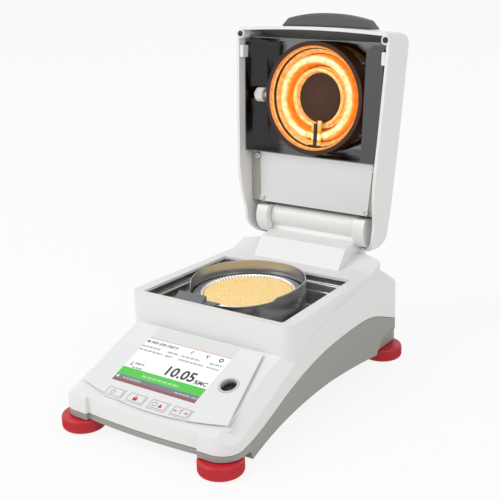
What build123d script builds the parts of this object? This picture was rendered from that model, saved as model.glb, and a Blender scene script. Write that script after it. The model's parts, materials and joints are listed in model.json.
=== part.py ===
from build123d import *
import os
from math import cos, pi, radians, sin, tan

os.makedirs("parts", exist_ok=True)

# Frame: +X to the user's right, -Y towards the user, +Z up, floor at zero.
# All lengths are millimetres. The lid stands open on its stop, as in use between tests.

# Stations along the body, from the user to the back
front_y = -160.0
deck_front_y = -62.5
pan_y = 3.2
rise_start_y = 86.0
deck_rear_y = 112.0
hinge_y = 129.3
rear_y = 145.5

# Body widths, as half widths, and heights
half_front = 94.5
half_deck = 90.5
half_waist = 89.0
half_deck_rear = 81.5
shoulder_half = 80.0
shoulder_drop = 12.0
deck_z = 99.2
rise_z = 108.0
console_top_z = 70.3
console_slope = 20.0
ledge_z = 97.0
rear_top_z = 77.0
underside_z = 14.5
floor_z = 26.0
wall = 3.0
parting_gap = 0.6
parting_front_z = 22.0
parting_crest_z = 60.5
parting_rear_z = 37.0
corner_r = 20.0
deck_corner_r = 10.0
post_width = 33.0
post_step = 3.5
front_bulge = 3.0

# Drying chamber
opening_half_front = 78.4
opening_half_rear = 73.5
opening_front = 58.8
opening_rear = 63.2
tray_floor_z = 68.0
tray_sheet = 0.8
tray_gap = 0.4
drain_r = 9.0

# Sample pan and what carries it
pan_r = 45.5
pan_wall_r = 43.0
pan_sheet = 0.5
pan_rim_z = 96.1
pan_depth = 7.5
flute_count = 60
flute_r = 0.55
support_gap = 0.2
support_arm = 38.0
support_thick = 1.6
stem_r = 4.0
shield_r = 54.8
shield_sheet = 0.9
shield_top_z = 107.4
shield_front_z = 99.5
shield_notch_z = 92.0
handler_in_r = 44.2
handler_out_r = 52.5
handler_sheet = 1.0

# Hinge and lid, the lid in its own plane: s runs from the hinge to the handle, n points inwards
hinge_z = 132.1
open_lean = 6.4
neck_half = 50.0
barrel_r = 12.0
pin_r = 3.0
pin_clearance = 0.05
ear_r = 19.5
ear_width = 13.0
ear_gap = 0.6
lid_half_top = 87.0
lid_half_mid = 83.0
lid_half_low = 78.5
lid_overhang = 0.7
lid_waist_s = 97.0
lid_bend_s = 20.0
lid_bow = 3.0
lid_tail = 24.0
lid_corner_r = 9.0
lid_tail_r = 22.0
lid_back = 17.0
lid_edge_r = 13.0
rim_n = 31.8
rim_bend_s = 48.0
rim_low_n = 21.0
flap_in_x = 58.0
flap_out_x = 77.0
flap_n = 23.0
flap_gap = 0.6
bumper_inset = 8.3
bumper_side = 5.0
bumper_r = 2.8
bumper_height = 0.8
bumper_seat = 4.0
boss_r = 4.4
boss_low_n = 0.0
panel_n = 12.0
panel_low_s = 14.0
panel_gap = 0.5
panel_half_low = 63.0
panel_half_high = 66.5
liner_back_n = -11.5
liner_inset = 10.9
lamp_offset = 1.5
lamp_r = 55.6
lamp_depth = 19.0
lamp_front_n = 21.5
lamp_hole_r = 24.0
tube_ring_r = 38.0
tube_r = 4.5
neck_way_n = -14.0
vent_pitch = 7.0
vent_count = 9
vent_length = 80.0
vent_width = 3.0
handle_half = 53.0
handle_reach = 14.5

# Display, keys and level
plateau_rise = 3.0
screen_x = -5.0
screen_width = 93.0
screen_height = 71.0
window_thick = 1.2
key_width = 19.0
key_depth = 10.5
key_pitch = 24.5
key_gap = 0.35
level_x = 57.4
level_down = 47.6
level_r = 9.0

# Levelling feet
foot_x = 76.6
foot_front_y = -148.0
foot_rear_y = 126.0
wheel_r = 19.5
wheel_low_z = 0.8
wheel_top_z = 13.6
pad_r = 12.0
pad_thick = 3.0
stud_r = 4.0
stud_clearance = 0.06
stud_top_z = 24.0

# Window, keys and level on the console, in its own plane
screen_top = -5.0
key_row = -89.2
window_inset = 2.5
panel_thick = 4.0
key_low = -2.0
key_proud = 0.6
level_depth = 8.0

# Pieces of the chamber that stand on one another
handler_z = 92.6
grip_x = -19.5
grip_gap = 1.5
grip_length = 46.0
grip_width = 9.0
grip_block = 31.0
grip_low = 4.4
grip_high = 9.8
grip_neck_high = 5.4
support_z = 84.0
stem_low_z = 62.0
stem_clearance = 0.05
cell_width = 22.0
cell_height = 20.0
cell_low_z = 34.0
cell_fixed_y = 66.0
post_top_z = 66.5

# Electronics and connectors
board_z = 30.0
board_y = -104.0
board_width = 130.0
board_depth = 70.0
chip_size = 16.0
header_x = 40.0
header_width = 9.0
header_depth = 22.0
supply_x = -42.0
supply_y = 108.0
supply_width = 56.0
supply_depth = 44.0
panel_width = 124.0
panel_height = 42.0
panel_z = 45.0
inlet_x = 40.0
inlet_width = 31.0
inlet_height = 23.0
serial_x = -26.0
serial_width = 31.0
serial_height = 12.5
usb_a_x = -36.0
usb_a_width = 14.6
usb_a_height = 7.2
usb_b_x = -14.0
usb_b_size = 12.0
handle_low_n = -13.0
handle_thick = 16.0
ear_high_s = 10.3
ear_low_s = 14.0
ear_back_n = -14.0
neck_relief = 1.2
barrel_wrap = 50.0
liner_sheet = 0.8
liner_low_s = 66.5
liner_front_n = 22.0
panel_sheet = 1.0
frame_sheet = 1.2
tube_n = 12.0
tube_gap = 30.0
sensor_n = 13.5
sensor_r = 1.6
flap_foot_n = -10.0
clip_inset = 25.5
clip_width = 4.0
screw_r = 2.0
screw_head_r = 3.8

slope_sin = sin(radians(console_slope))
slope_cos = cos(radians(console_slope))
slope_tan = tan(radians(console_slope))
front_lip_z = console_top_z - (deck_front_y - front_y) * slope_tan

opening_front_y = pan_y - opening_front
opening_rear_y = pan_y + opening_rear
grip_front_y = opening_front_y + 1.2
pan_floor_z = pan_rim_z - pan_depth

# The closed lid reaches just past the deck, with the heater over the pan
lid_length = hinge_y - deck_front_y + lid_overhang
lamp_s = hinge_y - pan_y - lamp_offset
liner_top_s = lid_length - liner_inset
flap_low_s = liner_low_s + 1.5
flap_high_s = liner_top_s - flap_gap
panel_high_s = liner_low_s - panel_gap
lid_corner_s = lid_length - 2
bumper_s = lid_length - bumper_inset
bumper_x = lid_half_top - bumper_side
clip_s = lid_length - clip_inset


def save(piece, name):
    piece.part.label = name
    export_step(piece.part, "parts/" + name + ".step")


def console_plane(lift=0.0):
    """Plane of the console, local x to the right and local y up the slope, from the deck's foot."""
    return Plane(
        origin=(0, deck_front_y, console_top_z),
        x_dir=(1, 0, 0),
        z_dir=(0, -slope_sin, slope_cos),
    ).offset(lift)


# The open lid's plane: local x right, local y along the lid, local z inwards
lean_sin = sin(radians(open_lean))
lean_cos = cos(radians(open_lean))
lid_plane = Plane(
    origin=(0, hinge_y, hinge_z), x_dir=(1, 0, 0), z_dir=(0, -lean_cos, lean_sin)
)
# The lid's cross plane: local x along the lid, local y inwards
lid_side = Plane(
    origin=(0, hinge_y, hinge_z), x_dir=(0, lean_sin, lean_cos), z_dir=(1, 0, 0)
)


def flank_profile():
    """Side view of the body below the deck."""
    Polyline(
        (deck_rear_y + 2, ledge_z),
        (rear_y, rear_top_z),
        (rear_y, 0),
        (front_y - 6, 0),
        (front_y - 6, front_lip_z - 6 * slope_tan),
        (deck_front_y + 2, console_top_z + 2 * slope_tan),
    )
    Spline(
        (deck_front_y + 2, console_top_z + 2 * slope_tan),
        (pan_y - 25, deck_z - 14.2),
        (pan_y + 15, deck_z - 4.2),
        (deck_rear_y - 40, deck_z - 1),
        (deck_rear_y + 2, ledge_z),
    )


def opening_outline(grow=0.0):
    """Plan of the chamber opening, narrower at the back."""
    Polyline(
        (-opening_half_front - grow, opening_front_y - grow),
        (opening_half_front + grow, opening_front_y - grow),
        (opening_half_rear + grow, opening_rear_y + grow),
        (-opening_half_rear - grow, opening_rear_y + grow),
        close=True,
    )


# Outer form of both housings, before it is parted
with BuildPart() as form:
    with BuildSketch(Plane.YZ) as core_side:
        with BuildLine():
            flank_profile()
        make_face()
    extrude(amount=shoulder_half, both=True)
    for side in (1, -1):
        with BuildSketch(Plane.YZ.offset(side * shoulder_half)) as shoulder_side:
            with BuildLine():
                flank_profile()
            make_face()
        shoulder_out = half_front + 1 - shoulder_half
        extrude(
            amount=(shoulder_out**2 + shoulder_drop**2) ** 0.5,
            dir=(side * shoulder_out, 0, -shoulder_drop),
        )
    # Plan view: two front posts with a bowed wall between them, and flanks that draw in
    with BuildSketch() as plan:
        with BuildLine():
            post_in = half_front - post_width
            step_y = front_y + post_step
            sides = Polyline(
                (post_in, step_y),
                (post_in, front_y),
                (half_front, front_y),
                (half_waist, pan_y),
                (half_waist, rear_y),
                (-half_waist, rear_y),
                (-half_waist, pan_y),
                (-half_front, front_y),
                (-post_in, front_y),
                (-post_in, step_y),
            )
            ThreePointArc((-post_in, step_y), (0, step_y - front_bulge), (post_in, step_y))
        make_face()
        outer = plan.vertices().filter_by(lambda v: abs(v.X) > half_waist - 1)
        fillet(outer.filter_by(lambda v: abs(v.Y - pan_y) > 1), corner_r)
    extrude(amount=deck_z, mode=Mode.INTERSECT)
    # Deck block round the chamber, drawn in towards the back
    with BuildSketch(Plane.XY.offset(underside_z + 30)) as deck_plan:
        with BuildLine():
            Polyline(
                (half_deck_rear, deck_rear_y),
                (half_deck, deck_front_y),
                (-half_deck, deck_front_y),
                (-half_deck_rear, deck_rear_y),
            )
            ThreePointArc(
                (-half_deck_rear, deck_rear_y), (0, hinge_y + 2), (half_deck_rear, deck_rear_y)
            )
        make_face()
        fillet(deck_plan.vertices().filter_by(lambda v: v.Y < 0), deck_corner_r)
    extrude(amount=rise_z - underside_z - 30)
    # The deck is flat round the chamber and rises to the back under the lid's rounded tail
    with BuildSketch(Plane.YZ) as above_deck:
        with BuildLine():
            Spline(
                (rise_start_y, deck_z),
                (deck_rear_y - 4, rise_z - 3.4),
                (hinge_y, rise_z),
                tangents=((1, 0), (1, 0)),
            )
            Polyline(
                (hinge_y, rise_z),
                (rear_y, rise_z),
                (rear_y, rise_z + 10),
                (front_y, rise_z + 10),
                (front_y, deck_z),
                (rise_start_y, deck_z),
            )
        make_face()
    extrude(amount=half_front, both=True, mode=Mode.SUBTRACT)
    # Hinge neck: a ramp behind the chamber that ends in the barrel
    with BuildSketch(Plane.YZ) as neck_side:
        with BuildLine():
            wrap = radians(barrel_wrap)
            barrel_front = (hinge_y - barrel_r * cos(wrap), hinge_z - barrel_r * sin(wrap))
            Polyline(
                barrel_front,
                (hinge_y - panel_low_s + neck_relief + 3, hinge_z - panel_n - neck_relief),
                (hinge_y - panel_low_s - 3, hinge_z - panel_n - neck_relief - 0.8),
                (99.5, 117.0),
                (83.5, deck_z - 1),
                (83.5, ledge_z - 20),
                (hinge_y + barrel_r - 2, ledge_z - 20),
                (hinge_y + barrel_r - 2, hinge_z - barrel_r + 4),
                (hinge_y + barrel_r, hinge_z),
            )
            ThreePointArc(
                (hinge_y + barrel_r, hinge_z),
                (hinge_y, hinge_z + barrel_r),
                barrel_front,
            )
        make_face()
        fillet(neck_side.vertices().filter_by(lambda v: 99 < v.Y < 100 and v.X > 90), 6)
    extrude(amount=neck_half, both=True)
    # Underside: notches over the wheels and an arched flank edge between them
    with BuildSketch(Plane.YZ) as underside:
        with BuildLine():
            Spline(
                (-126, 6),
                (-104, 12.5),
                (-30, 22),
                (54, 19.5),
                (100, underside_z),
            )
            Polyline(
                (100, underside_z),
                (rear_y + 10, underside_z),
                (rear_y + 10, -1),
                (front_y - 10, -1),
                (front_y - 10, underside_z),
                (-129, underside_z),
                (-126, 6),
            )
        make_face()
    extrude(amount=half_front + 5, both=True, mode=Mode.SUBTRACT)
    for side in (1, -1):
        with BuildSketch(Plane.YZ.offset(side * (half_waist - 6))) as arch:
            with Locations((foot_rear_y - 6, 3)):
                Circle(30)
        extrude(amount=side * 20, mode=Mode.SUBTRACT)
        with BuildSketch() as notch:
            with Locations((side * foot_x, foot_front_y), (side * foot_x, foot_rear_y)):
                Circle(wheel_r + 1)
        extrude(amount=underside_z, mode=Mode.SUBTRACT)
    # Chamber opening through the deck
    with BuildSketch(Plane.XY.offset(tray_floor_z - tray_sheet)) as opening:
        with BuildLine():
            opening_outline()
        make_face()
        fillet(opening.vertices(), 2)
    extrude(amount=deck_z, mode=Mode.SUBTRACT)
    # Space inside: under the console, under the chamber and behind it
    with BuildSketch(Plane.YZ) as inside:
        with BuildLine():
            Polyline(
                (front_y + 8, floor_z),
                (front_y + 8, front_lip_z + 8 * slope_tan - wall - 1),
                (deck_front_y, console_top_z - wall - 1),
                (deck_front_y, tray_floor_z - tray_sheet - wall),
                (opening_rear_y + 8, tray_floor_z - tray_sheet - wall),
                (opening_rear_y + 8, 90),
                (deck_rear_y, 90),
                (rear_y - wall, rear_top_z - wall - 4),
                (rear_y - wall, floor_z),
                close=True,
            )
        make_face()
    extrude(amount=shoulder_half - wall, both=True, mode=Mode.SUBTRACT)


def above_parting(gap=0.0):
    """Everything above the S-shaped parting line, lowered by gap."""
    low = parting_front_z - gap
    crest = parting_crest_z - gap
    rear = parting_rear_z - gap
    Spline(
        (front_y - 10, low),
        (front_y + 17, low - 1.5),
        (front_y + 53, low + 6.5),
        (deck_front_y - 7.5, low + 19.5),
        (deck_front_y + 31.5, crest - 8.5),
        (pan_y + 4.8, crest - 2.8),
        (pan_y + 48.8, crest),
        (deck_rear_y - 30, crest - 1.5),
        (deck_rear_y - 3, crest - 10),
        (rear_y - 15.5, rear + 5.5),
        (rear_y + 10, rear),
    )
    Polyline(
        (rear_y + 10, rear),
        (rear_y + 10, hinge_z + 30),
        (front_y - 10, hinge_z + 30),
        (front_y - 10, low),
    )


def panel_window(clearance=0.0):
    """Outline of the connector panel in the back wall."""
    with Locations((0, panel_z)):
        RectangleRounded(panel_width + 2 * clearance, panel_height + 2 * clearance, 4)


def plateau_outline(inset=0.0):
    """Display plateau on the console, wider towards the user, with a bowed front edge."""
    left_low, right_low = (inset - 82, inset - 87), (86 - inset, inset - 90)
    Polyline(left_low, (inset - 77, -2 - inset), (68 - inset, -2 - inset), right_low)
    ThreePointArc(left_low, (2, inset - 100), right_low)


key_places = [((i - 1.5) * key_pitch, key_row) for i in range(4)]
level_place = (level_x, -level_down)
foot_places = {
    "front_left": (-foot_x, foot_front_y),
    "front_right": (foot_x, foot_front_y),
    "rear_left": (-foot_x, foot_rear_y),
    "rear_right": (foot_x, foot_rear_y),
}
screw_places = [(-60, -118), (60, -118), (-66, 98), (66, 98)]

with BuildPart() as upper_housing:
    add(form.part)
    with BuildSketch(Plane.YZ) as upper_side:
        with BuildLine():
            above_parting()
        make_face()
    extrude(amount=half_front + 10, both=True, mode=Mode.INTERSECT)
    with BuildSketch(console_plane(-1)) as plateau:
        with BuildLine():
            plateau_outline()
        make_face()
    extrude(amount=plateau_rise + 1, taper=20)
    # Seat of the window, and the way through to the display, keys and level
    with BuildSketch(console_plane(plateau_rise - window_thick)) as window_seat:
        with BuildLine():
            plateau_outline(window_inset)
        make_face()
    extrude(amount=wall, mode=Mode.SUBTRACT)
    with BuildSketch(console_plane(-wall - 6)) as display_way:
        with Locations((screen_x, screen_top - screen_height / 2)):
            Rectangle(screen_width + 2, screen_height + 2)
        with Locations(*key_places):
            Rectangle(key_width + 2 * key_gap, key_depth + 2 * key_gap)
        with Locations(level_place):
            Circle(level_r + 0.3)
    extrude(amount=plateau_rise + wall + 8, mode=Mode.SUBTRACT)
    with BuildSketch(Plane.XZ.offset(-rear_y + 2 * wall)) as panel_way:
        panel_window(0.2)
    extrude(amount=-3 * wall, mode=Mode.SUBTRACT)
    # Way for the pan support's stem, and for the studs and screws that come up from below
    with BuildSketch(Plane.XY.offset(tray_floor_z - tray_sheet - 2 * wall)) as stem_way:
        with Locations((0, pan_y)):
            Circle(drain_r)
    extrude(amount=3 * wall, mode=Mode.SUBTRACT)
    with BuildSketch() as stud_ways:
        with Locations(*foot_places.values()):
            Circle(stud_r + stud_clearance)
    extrude(amount=stud_top_z + 2, mode=Mode.SUBTRACT)
    with BuildSketch() as screw_holes:
        with Locations(*screw_places):
            Circle(screw_r)
    extrude(amount=floor_z + 4, mode=Mode.SUBTRACT)
    # Bore for the hinge pin
    with BuildSketch(Plane.YZ.offset(-neck_half)) as pin_way:
        with Locations((hinge_y, hinge_z)):
            Circle(pin_r)
    extrude(amount=2 * neck_half, mode=Mode.SUBTRACT)
save(upper_housing, "upper_housing")

with BuildPart() as lower_housing:
    add(form.part)
    with BuildSketch(Plane.YZ) as lower_side:
        with BuildLine():
            above_parting(parting_gap)
        make_face()
    extrude(amount=half_front + 10, both=True, mode=Mode.SUBTRACT)
    with BuildSketch(Plane.XZ.offset(-rear_y + 2 * wall)) as panel_way_low:
        panel_window(0.2)
    extrude(amount=-3 * wall, mode=Mode.SUBTRACT)
    # Threads for the feet's studs
    with BuildSketch() as stud_threads:
        with Locations(*foot_places.values()):
            Circle(stud_r + stud_clearance)
    extrude(amount=stud_top_z + 2, mode=Mode.SUBTRACT)
    # Pockets for the housing screws
    with BuildSketch() as screw_pockets:
        with Locations(*screw_places):
            Circle(screw_head_r + 0.3)
    extrude(amount=floor_z - wall, mode=Mode.SUBTRACT)
    with BuildSketch() as screw_ways:
        with Locations(*screw_places):
            Circle(screw_r)
    extrude(amount=floor_z, mode=Mode.SUBTRACT)
save(lower_housing, "lower_housing")

with BuildPart() as housing_screws:
    with BuildSketch(Plane.XY.offset(floor_z - wall - 3)) as heads:
        with Locations(*screw_places):
            Circle(screw_head_r)
    extrude(amount=3)
    with BuildSketch(Plane.XY.offset(floor_z - wall)) as shanks:
        with Locations(*screw_places):
            Circle(screw_r)
    extrude(amount=wall + 2)
    with BuildSketch(Plane.XY.offset(floor_z - wall - 3)) as drives:
        with Locations(*screw_places):
            RegularPolygon(1.5, 6)
    extrude(amount=1.5, mode=Mode.SUBTRACT)
save(housing_screws, "housing_screws")

# Connector panel in the back wall, with its sockets
with BuildPart() as rear_panel:
    with BuildSketch(Plane.XZ.offset(-rear_y + wall)) as panel_face:
        panel_window()
    extrude(amount=-wall + 0.5)
    with BuildSketch(Plane.XZ.offset(-rear_y + wall)) as socket_ways:
        with Locations((inlet_x, panel_z)):
            RectangleRounded(inlet_width, inlet_height, 3)
        with Locations((serial_x, panel_z + 8)):
            RectangleRounded(serial_width, serial_height, 2)
        with Locations((usb_a_x, panel_z - 8)):
            Rectangle(usb_a_width, usb_a_height)
        with Locations((usb_b_x, panel_z - 8)):
            Rectangle(usb_b_size, usb_b_size)
    extrude(amount=-wall, mode=Mode.SUBTRACT)
save(rear_panel, "rear_panel")

with BuildPart() as power_inlet:
    with BuildSketch(Plane.XZ.offset(-rear_y + 22)) as inlet_body:
        with Locations((inlet_x, panel_z)):
            RectangleRounded(inlet_width - 0.2, inlet_height - 0.2, 3)
    extrude(amount=-22 + 0.5)
    with BuildSketch(Plane.XZ.offset(-rear_y + 16)) as inlet_well:
        with Locations((inlet_x, panel_z)):
            RectangleRounded(inlet_width - 4, inlet_height - 4, 2)
    extrude(amount=-17, mode=Mode.SUBTRACT)
    with BuildSketch(Plane.XZ.offset(-rear_y + 16)) as inlet_pins:
        with Locations((inlet_x - 7, panel_z + 1), (inlet_x, panel_z - 3), (inlet_x + 7, panel_z + 1)):
            Rectangle(2, 4)
    extrude(amount=-12)
save(power_inlet, "power_inlet")

with BuildPart() as serial_port:
    with BuildSketch(Plane.XZ.offset(-rear_y + 12)) as serial_body:
        with Locations((serial_x, panel_z + 8)):
            RectangleRounded(serial_width - 0.2, serial_height - 0.2, 2)
    extrude(amount=-12 - 0.8)
    with BuildSketch(Plane.XZ.offset(-rear_y + 5)) as serial_well:
        with Locations((serial_x, panel_z + 8)):
            Trapezoid(17, 8, 80, rotation=180)
    extrude(amount=-8, mode=Mode.SUBTRACT)
    with BuildSketch(Plane.XZ.offset(-rear_y + 5)) as serial_pins:
        with Locations((serial_x, panel_z + 9.5)):
            with GridLocations(2.7, 1, 5, 1):
                Circle(0.5)
        with Locations((serial_x, panel_z + 6.7)):
            with GridLocations(2.7, 1, 4, 1):
                Circle(0.5)
    extrude(amount=-4.5)
save(serial_port, "serial_port")

with BuildPart() as usb_ports:
    with BuildSketch(Plane.XZ.offset(-rear_y + 14)) as usb_bodies:
        with Locations((usb_a_x, panel_z - 8)):
            Rectangle(usb_a_width - 0.2, usb_a_height - 0.2)
        with Locations((usb_b_x, panel_z - 8)):
            Rectangle(usb_b_size - 0.2, usb_b_size - 0.2)
    extrude(amount=-14 - 0.5)
    with BuildSketch(Plane.XZ.offset(-rear_y + 8)) as usb_wells:
        with Locations((usb_a_x, panel_z - 8)):
            Rectangle(usb_a_width - 1.6, usb_a_height - 1.6)
        with Locations((usb_b_x, panel_z - 8)):
            Rectangle(usb_b_size - 3, usb_b_size - 3)
    extrude(amount=-9, mode=Mode.SUBTRACT)
    with BuildSketch(Plane.XZ.offset(-rear_y + 8)) as usb_tongues:
        with Locations((usb_a_x, panel_z - 6.8)):
            Rectangle(usb_a_width - 3, 1.6)
        with Locations((usb_b_x, panel_z - 8)):
            Rectangle(4.5, 3)
    extrude(amount=-7.5)
save(usb_ports, "usb_ports")

# Stainless chamber tray, a pressed pan that lines the opening
with BuildPart() as chamber_tray:
    with BuildSketch(Plane.XY.offset(tray_floor_z - tray_sheet)) as tray_low:
        with BuildLine():
            opening_outline(-tray_gap)
        make_face()
        fillet(tray_low.vertices(), 2)
    extrude(amount=deck_z - 2 - tray_floor_z + tray_sheet)
    with BuildSketch(Plane.XY.offset(tray_floor_z)) as tray_room:
        with BuildLine():
            opening_outline(-tray_gap - tray_sheet)
        make_face()
        fillet(tray_room.vertices(), 1.5)
    extrude(amount=deck_z, mode=Mode.SUBTRACT)
    # Raised step along both sides and the hole for the pan support's stem
    for side in (1, -1):
        with BuildSketch(Plane.XY.offset(tray_floor_z)) as step:
            with Locations((side * (opening_half_rear - 8), pan_y)):
                Rectangle(10, 100)
        extrude(amount=14)
    with BuildSketch(Plane.XY.offset(tray_floor_z - tray_sheet)) as stem_way:
        with Locations((0, pan_y)):
            Circle(drain_r)
    extrude(amount=2 * tray_sheet, mode=Mode.SUBTRACT)
save(chamber_tray, "chamber_tray")

# Draft shield: a tall stainless ring, cut down at the front where the pan goes in
with BuildPart() as draft_shield:
    with BuildSketch(Plane.XY.offset(tray_floor_z)) as shield_ring:
        with Locations((0, pan_y)):
            Circle(shield_r)
            Circle(shield_r - shield_sheet, mode=Mode.SUBTRACT)
    extrude(amount=shield_top_z - tray_floor_z)
    with BuildSketch(Plane.YZ) as shield_cut:
        with BuildLine():
            Polyline(
                (pan_y + 4, shield_top_z + 1),
                (pan_y + 4, shield_top_z),
                (pan_y - 12, shield_top_z - 0.9),
                (pan_y - 24, shield_top_z - 2),
                (pan_y - 28, shield_front_z + 3),
                (pan_y - 50, shield_front_z),
                (pan_y - shield_r - 5, shield_front_z),
                (pan_y - shield_r - 5, shield_top_z + 1),
                close=True,
            )
        make_face()
    extrude(amount=shield_r + 5, both=True, mode=Mode.SUBTRACT)
    # Notch that the pan handler's grip reaches through
    with BuildSketch(Plane.XY.offset(shield_notch_z)) as grip_way:
        with Locations((grip_x, pan_y - shield_r / 2 - 10)):
            Rectangle(grip_length + 2 * grip_gap, shield_r)
    extrude(amount=shield_top_z, mode=Mode.SUBTRACT)
    with BuildSketch(Plane.XY.offset(tray_floor_z)) as shield_foot:
        with Locations((0, pan_y)):
            Circle(shield_r)
            Circle(shield_r - 7, mode=Mode.SUBTRACT)
    extrude(amount=shield_sheet)
save(draft_shield, "draft_shield")

# Pan handler: flat ring under the pan's rim, with an arm to its plastic grip
with BuildPart() as pan_handler:
    with BuildSketch(Plane.XY.offset(handler_z)) as handler_ring:
        with Locations((0, pan_y)):
            Circle(handler_out_r)
            Circle(handler_in_r, mode=Mode.SUBTRACT)
        with Locations((grip_x, (grip_front_y + grip_width + pan_y - handler_out_r + 12) / 2 - 2)):
            Rectangle(grip_length - 8, pan_y - handler_out_r + 12 - grip_front_y - grip_width + 4)
        with Locations((0, pan_y)):
            Circle(handler_in_r, mode=Mode.SUBTRACT)
    extrude(amount=handler_sheet)
save(pan_handler, "pan_handler")

# Grip: a block whose top rises towards the shield, with a lower neck beside it
with BuildPart() as handler_grip:
    grip_z = handler_z + handler_sheet
    grip_back_y = grip_front_y + grip_width
    with BuildSketch(Plane.YZ.offset(grip_x - grip_length / 2)) as grip_side:
        with BuildLine():
            Polyline(
                (grip_front_y, grip_z),
                (grip_front_y, grip_z + grip_low),
                (grip_back_y - 1.5, grip_z + grip_high),
                (grip_back_y, grip_z + grip_high),
                (grip_back_y, grip_z),
                close=True,
            )
        make_face()
        fillet(grip_side.vertices().filter_by(lambda v: v.Y > grip_z + 1), 0.6)
    extrude(amount=grip_block)
    with BuildSketch(Plane.XY.offset(grip_z)) as grip_neck:
        with BuildLine():
            Polyline(
                (grip_x - grip_length / 2 + grip_block - 1, grip_front_y + 1),
                (grip_x + grip_length / 2 - 2, grip_front_y + 2),
                (grip_x + grip_length / 2, grip_back_y),
                (grip_x - grip_length / 2 + grip_block - 1, grip_back_y),
                close=True,
            )
        make_face()
    extrude(amount=grip_neck_high)
save(handler_grip, "handler_grip")

# Sample pan: thin pressed aluminium with a rolled rim and a fluted wall
with BuildPart() as sample_pan:
    with BuildSketch(Plane.XZ) as pan_half:
        with BuildLine():
            Polyline(
                (0, pan_floor_z),
                (pan_wall_r - 1.5, pan_floor_z),
                (pan_wall_r, pan_floor_z + 1.5),
                (pan_wall_r + 0.6, pan_rim_z - 0.8),
                (pan_r, pan_rim_z - 0.8),
                (pan_r, pan_rim_z),
                (pan_wall_r, pan_rim_z),
                (pan_wall_r - pan_sheet, pan_floor_z + 2),
                (pan_wall_r - 2, pan_floor_z + pan_sheet),
                (0, pan_floor_z + pan_sheet),
                close=True,
            )
        make_face()
    revolve(axis=Axis.Z)
    with BuildSketch(Plane.XY.offset(pan_floor_z + 1.5)) as flutes:
        with PolarLocations(pan_wall_r + 0.1, flute_count):
            Circle(flute_r)
    extrude(amount=pan_depth - 2.5)
moved_pan = sample_pan.part.moved(Location((0, pan_y, 0)))
with BuildPart() as sample_pan:
    add(moved_pan)
save(sample_pan, "sample_pan")

# Pan support: four arms on a stem that stands in the load cell's bracket
with BuildPart() as pan_support:
    with BuildSketch(Plane.XY.offset(support_z)) as arms:
        with Locations((0, pan_y)):
            Rectangle(2 * support_arm, 8)
            Rectangle(8, 2 * support_arm)
            Circle(12)
    extrude(amount=support_thick)
    with BuildSketch(Plane.XY.offset(stem_low_z)) as stem:
        with Locations((0, pan_y)):
            Circle(stem_r)
    extrude(amount=support_z - stem_low_z)
    with BuildSketch(Plane.XY.offset(support_z + support_thick)) as arm_tips:
        with Locations((0, pan_y)):
            with PolarLocations(support_arm - 4, 4):
                Circle(2)
    extrude(amount=pan_floor_z - support_gap - support_z - support_thick)
save(pan_support, "pan_support")

# Load cell: a bar with a flexure window, fixed at one end and loaded at the other
with BuildPart() as cell_bracket:
    with BuildSketch(Plane.XY.offset(floor_z)) as bracket_foot:
        with Locations((0, cell_fixed_y)):
            Rectangle(cell_width + 12, 24)
    extrude(amount=cell_low_z - floor_z)
save(cell_bracket, "cell_bracket")

with BuildPart() as load_cell:
    with BuildSketch(Plane.YZ.offset(-cell_width / 2)) as cell_side:
        with Locations(((cell_fixed_y + 12 + pan_y - 12) / 2, cell_low_z + cell_height / 2)):
            Rectangle(cell_fixed_y + 12 - pan_y + 12, cell_height)
        with Locations(((cell_fixed_y + pan_y) / 2, cell_low_z + cell_height / 2)):
            SlotOverall(46, 11, mode=Mode.SUBTRACT)
    extrude(amount=cell_width)
save(load_cell, "load_cell")

with BuildPart() as cell_post:
    with BuildSketch(Plane.XY.offset(cell_low_z + cell_height)) as post_foot:
        with Locations((0, pan_y)):
            Rectangle(cell_width, 20)
    extrude(amount=3)
    with BuildSketch(Plane.XY.offset(cell_low_z + cell_height + 3)) as post:
        with Locations((0, pan_y)):
            Circle(stem_r + 3)
            Circle(stem_r + stem_clearance, mode=Mode.SUBTRACT)
    extrude(amount=post_top_z - cell_low_z - cell_height - 3)
save(cell_post, "cell_post")

# Electronics
with BuildPart() as main_board:
    with BuildSketch(Plane.XY.offset(board_z)) as board:
        with Locations((0, board_y)):
            RectangleRounded(board_width, board_depth, 2)
        with Locations((0, board_y)):
            with GridLocations(board_width - 10, board_depth - 10, 2, 2):
                Circle(1.6, mode=Mode.SUBTRACT)
    extrude(amount=1.6)
    with BuildSketch(Plane.XY.offset(board_z + 1.6)) as chips:
        with Locations((-30, board_y + 8), (10, board_y + 4)):
            Rectangle(chip_size, chip_size)
        with Locations((header_x, board_y)):
            Rectangle(header_width, header_depth)
    extrude(amount=2)
save(main_board, "main_board")

with BuildPart() as board_pillars:
    with BuildSketch(Plane.XY.offset(floor_z)) as pillars:
        with Locations((0, board_y)):
            with GridLocations(board_width - 10, board_depth - 10, 2, 2):
                Circle(3)
        with Locations((supply_x, supply_y)):
            with GridLocations(supply_width - 10, supply_depth - 10, 2, 2):
                Circle(3)
    extrude(amount=board_z - floor_z)
save(board_pillars, "board_pillars")

with BuildPart() as power_supply:
    with BuildSketch(Plane.XY.offset(board_z)) as supply_board:
        with Locations((supply_x, supply_y)):
            Rectangle(supply_width, supply_depth)
    extrude(amount=1.6)
    with BuildSketch(Plane.XY.offset(board_z + 1.6)) as supply_parts:
        with Locations((supply_x - 14, supply_y)):
            Rectangle(18, 22)
        with Locations((supply_x + 10, supply_y + 4)):
            Circle(7)
    extrude(amount=22)
save(power_supply, "power_supply")

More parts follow.
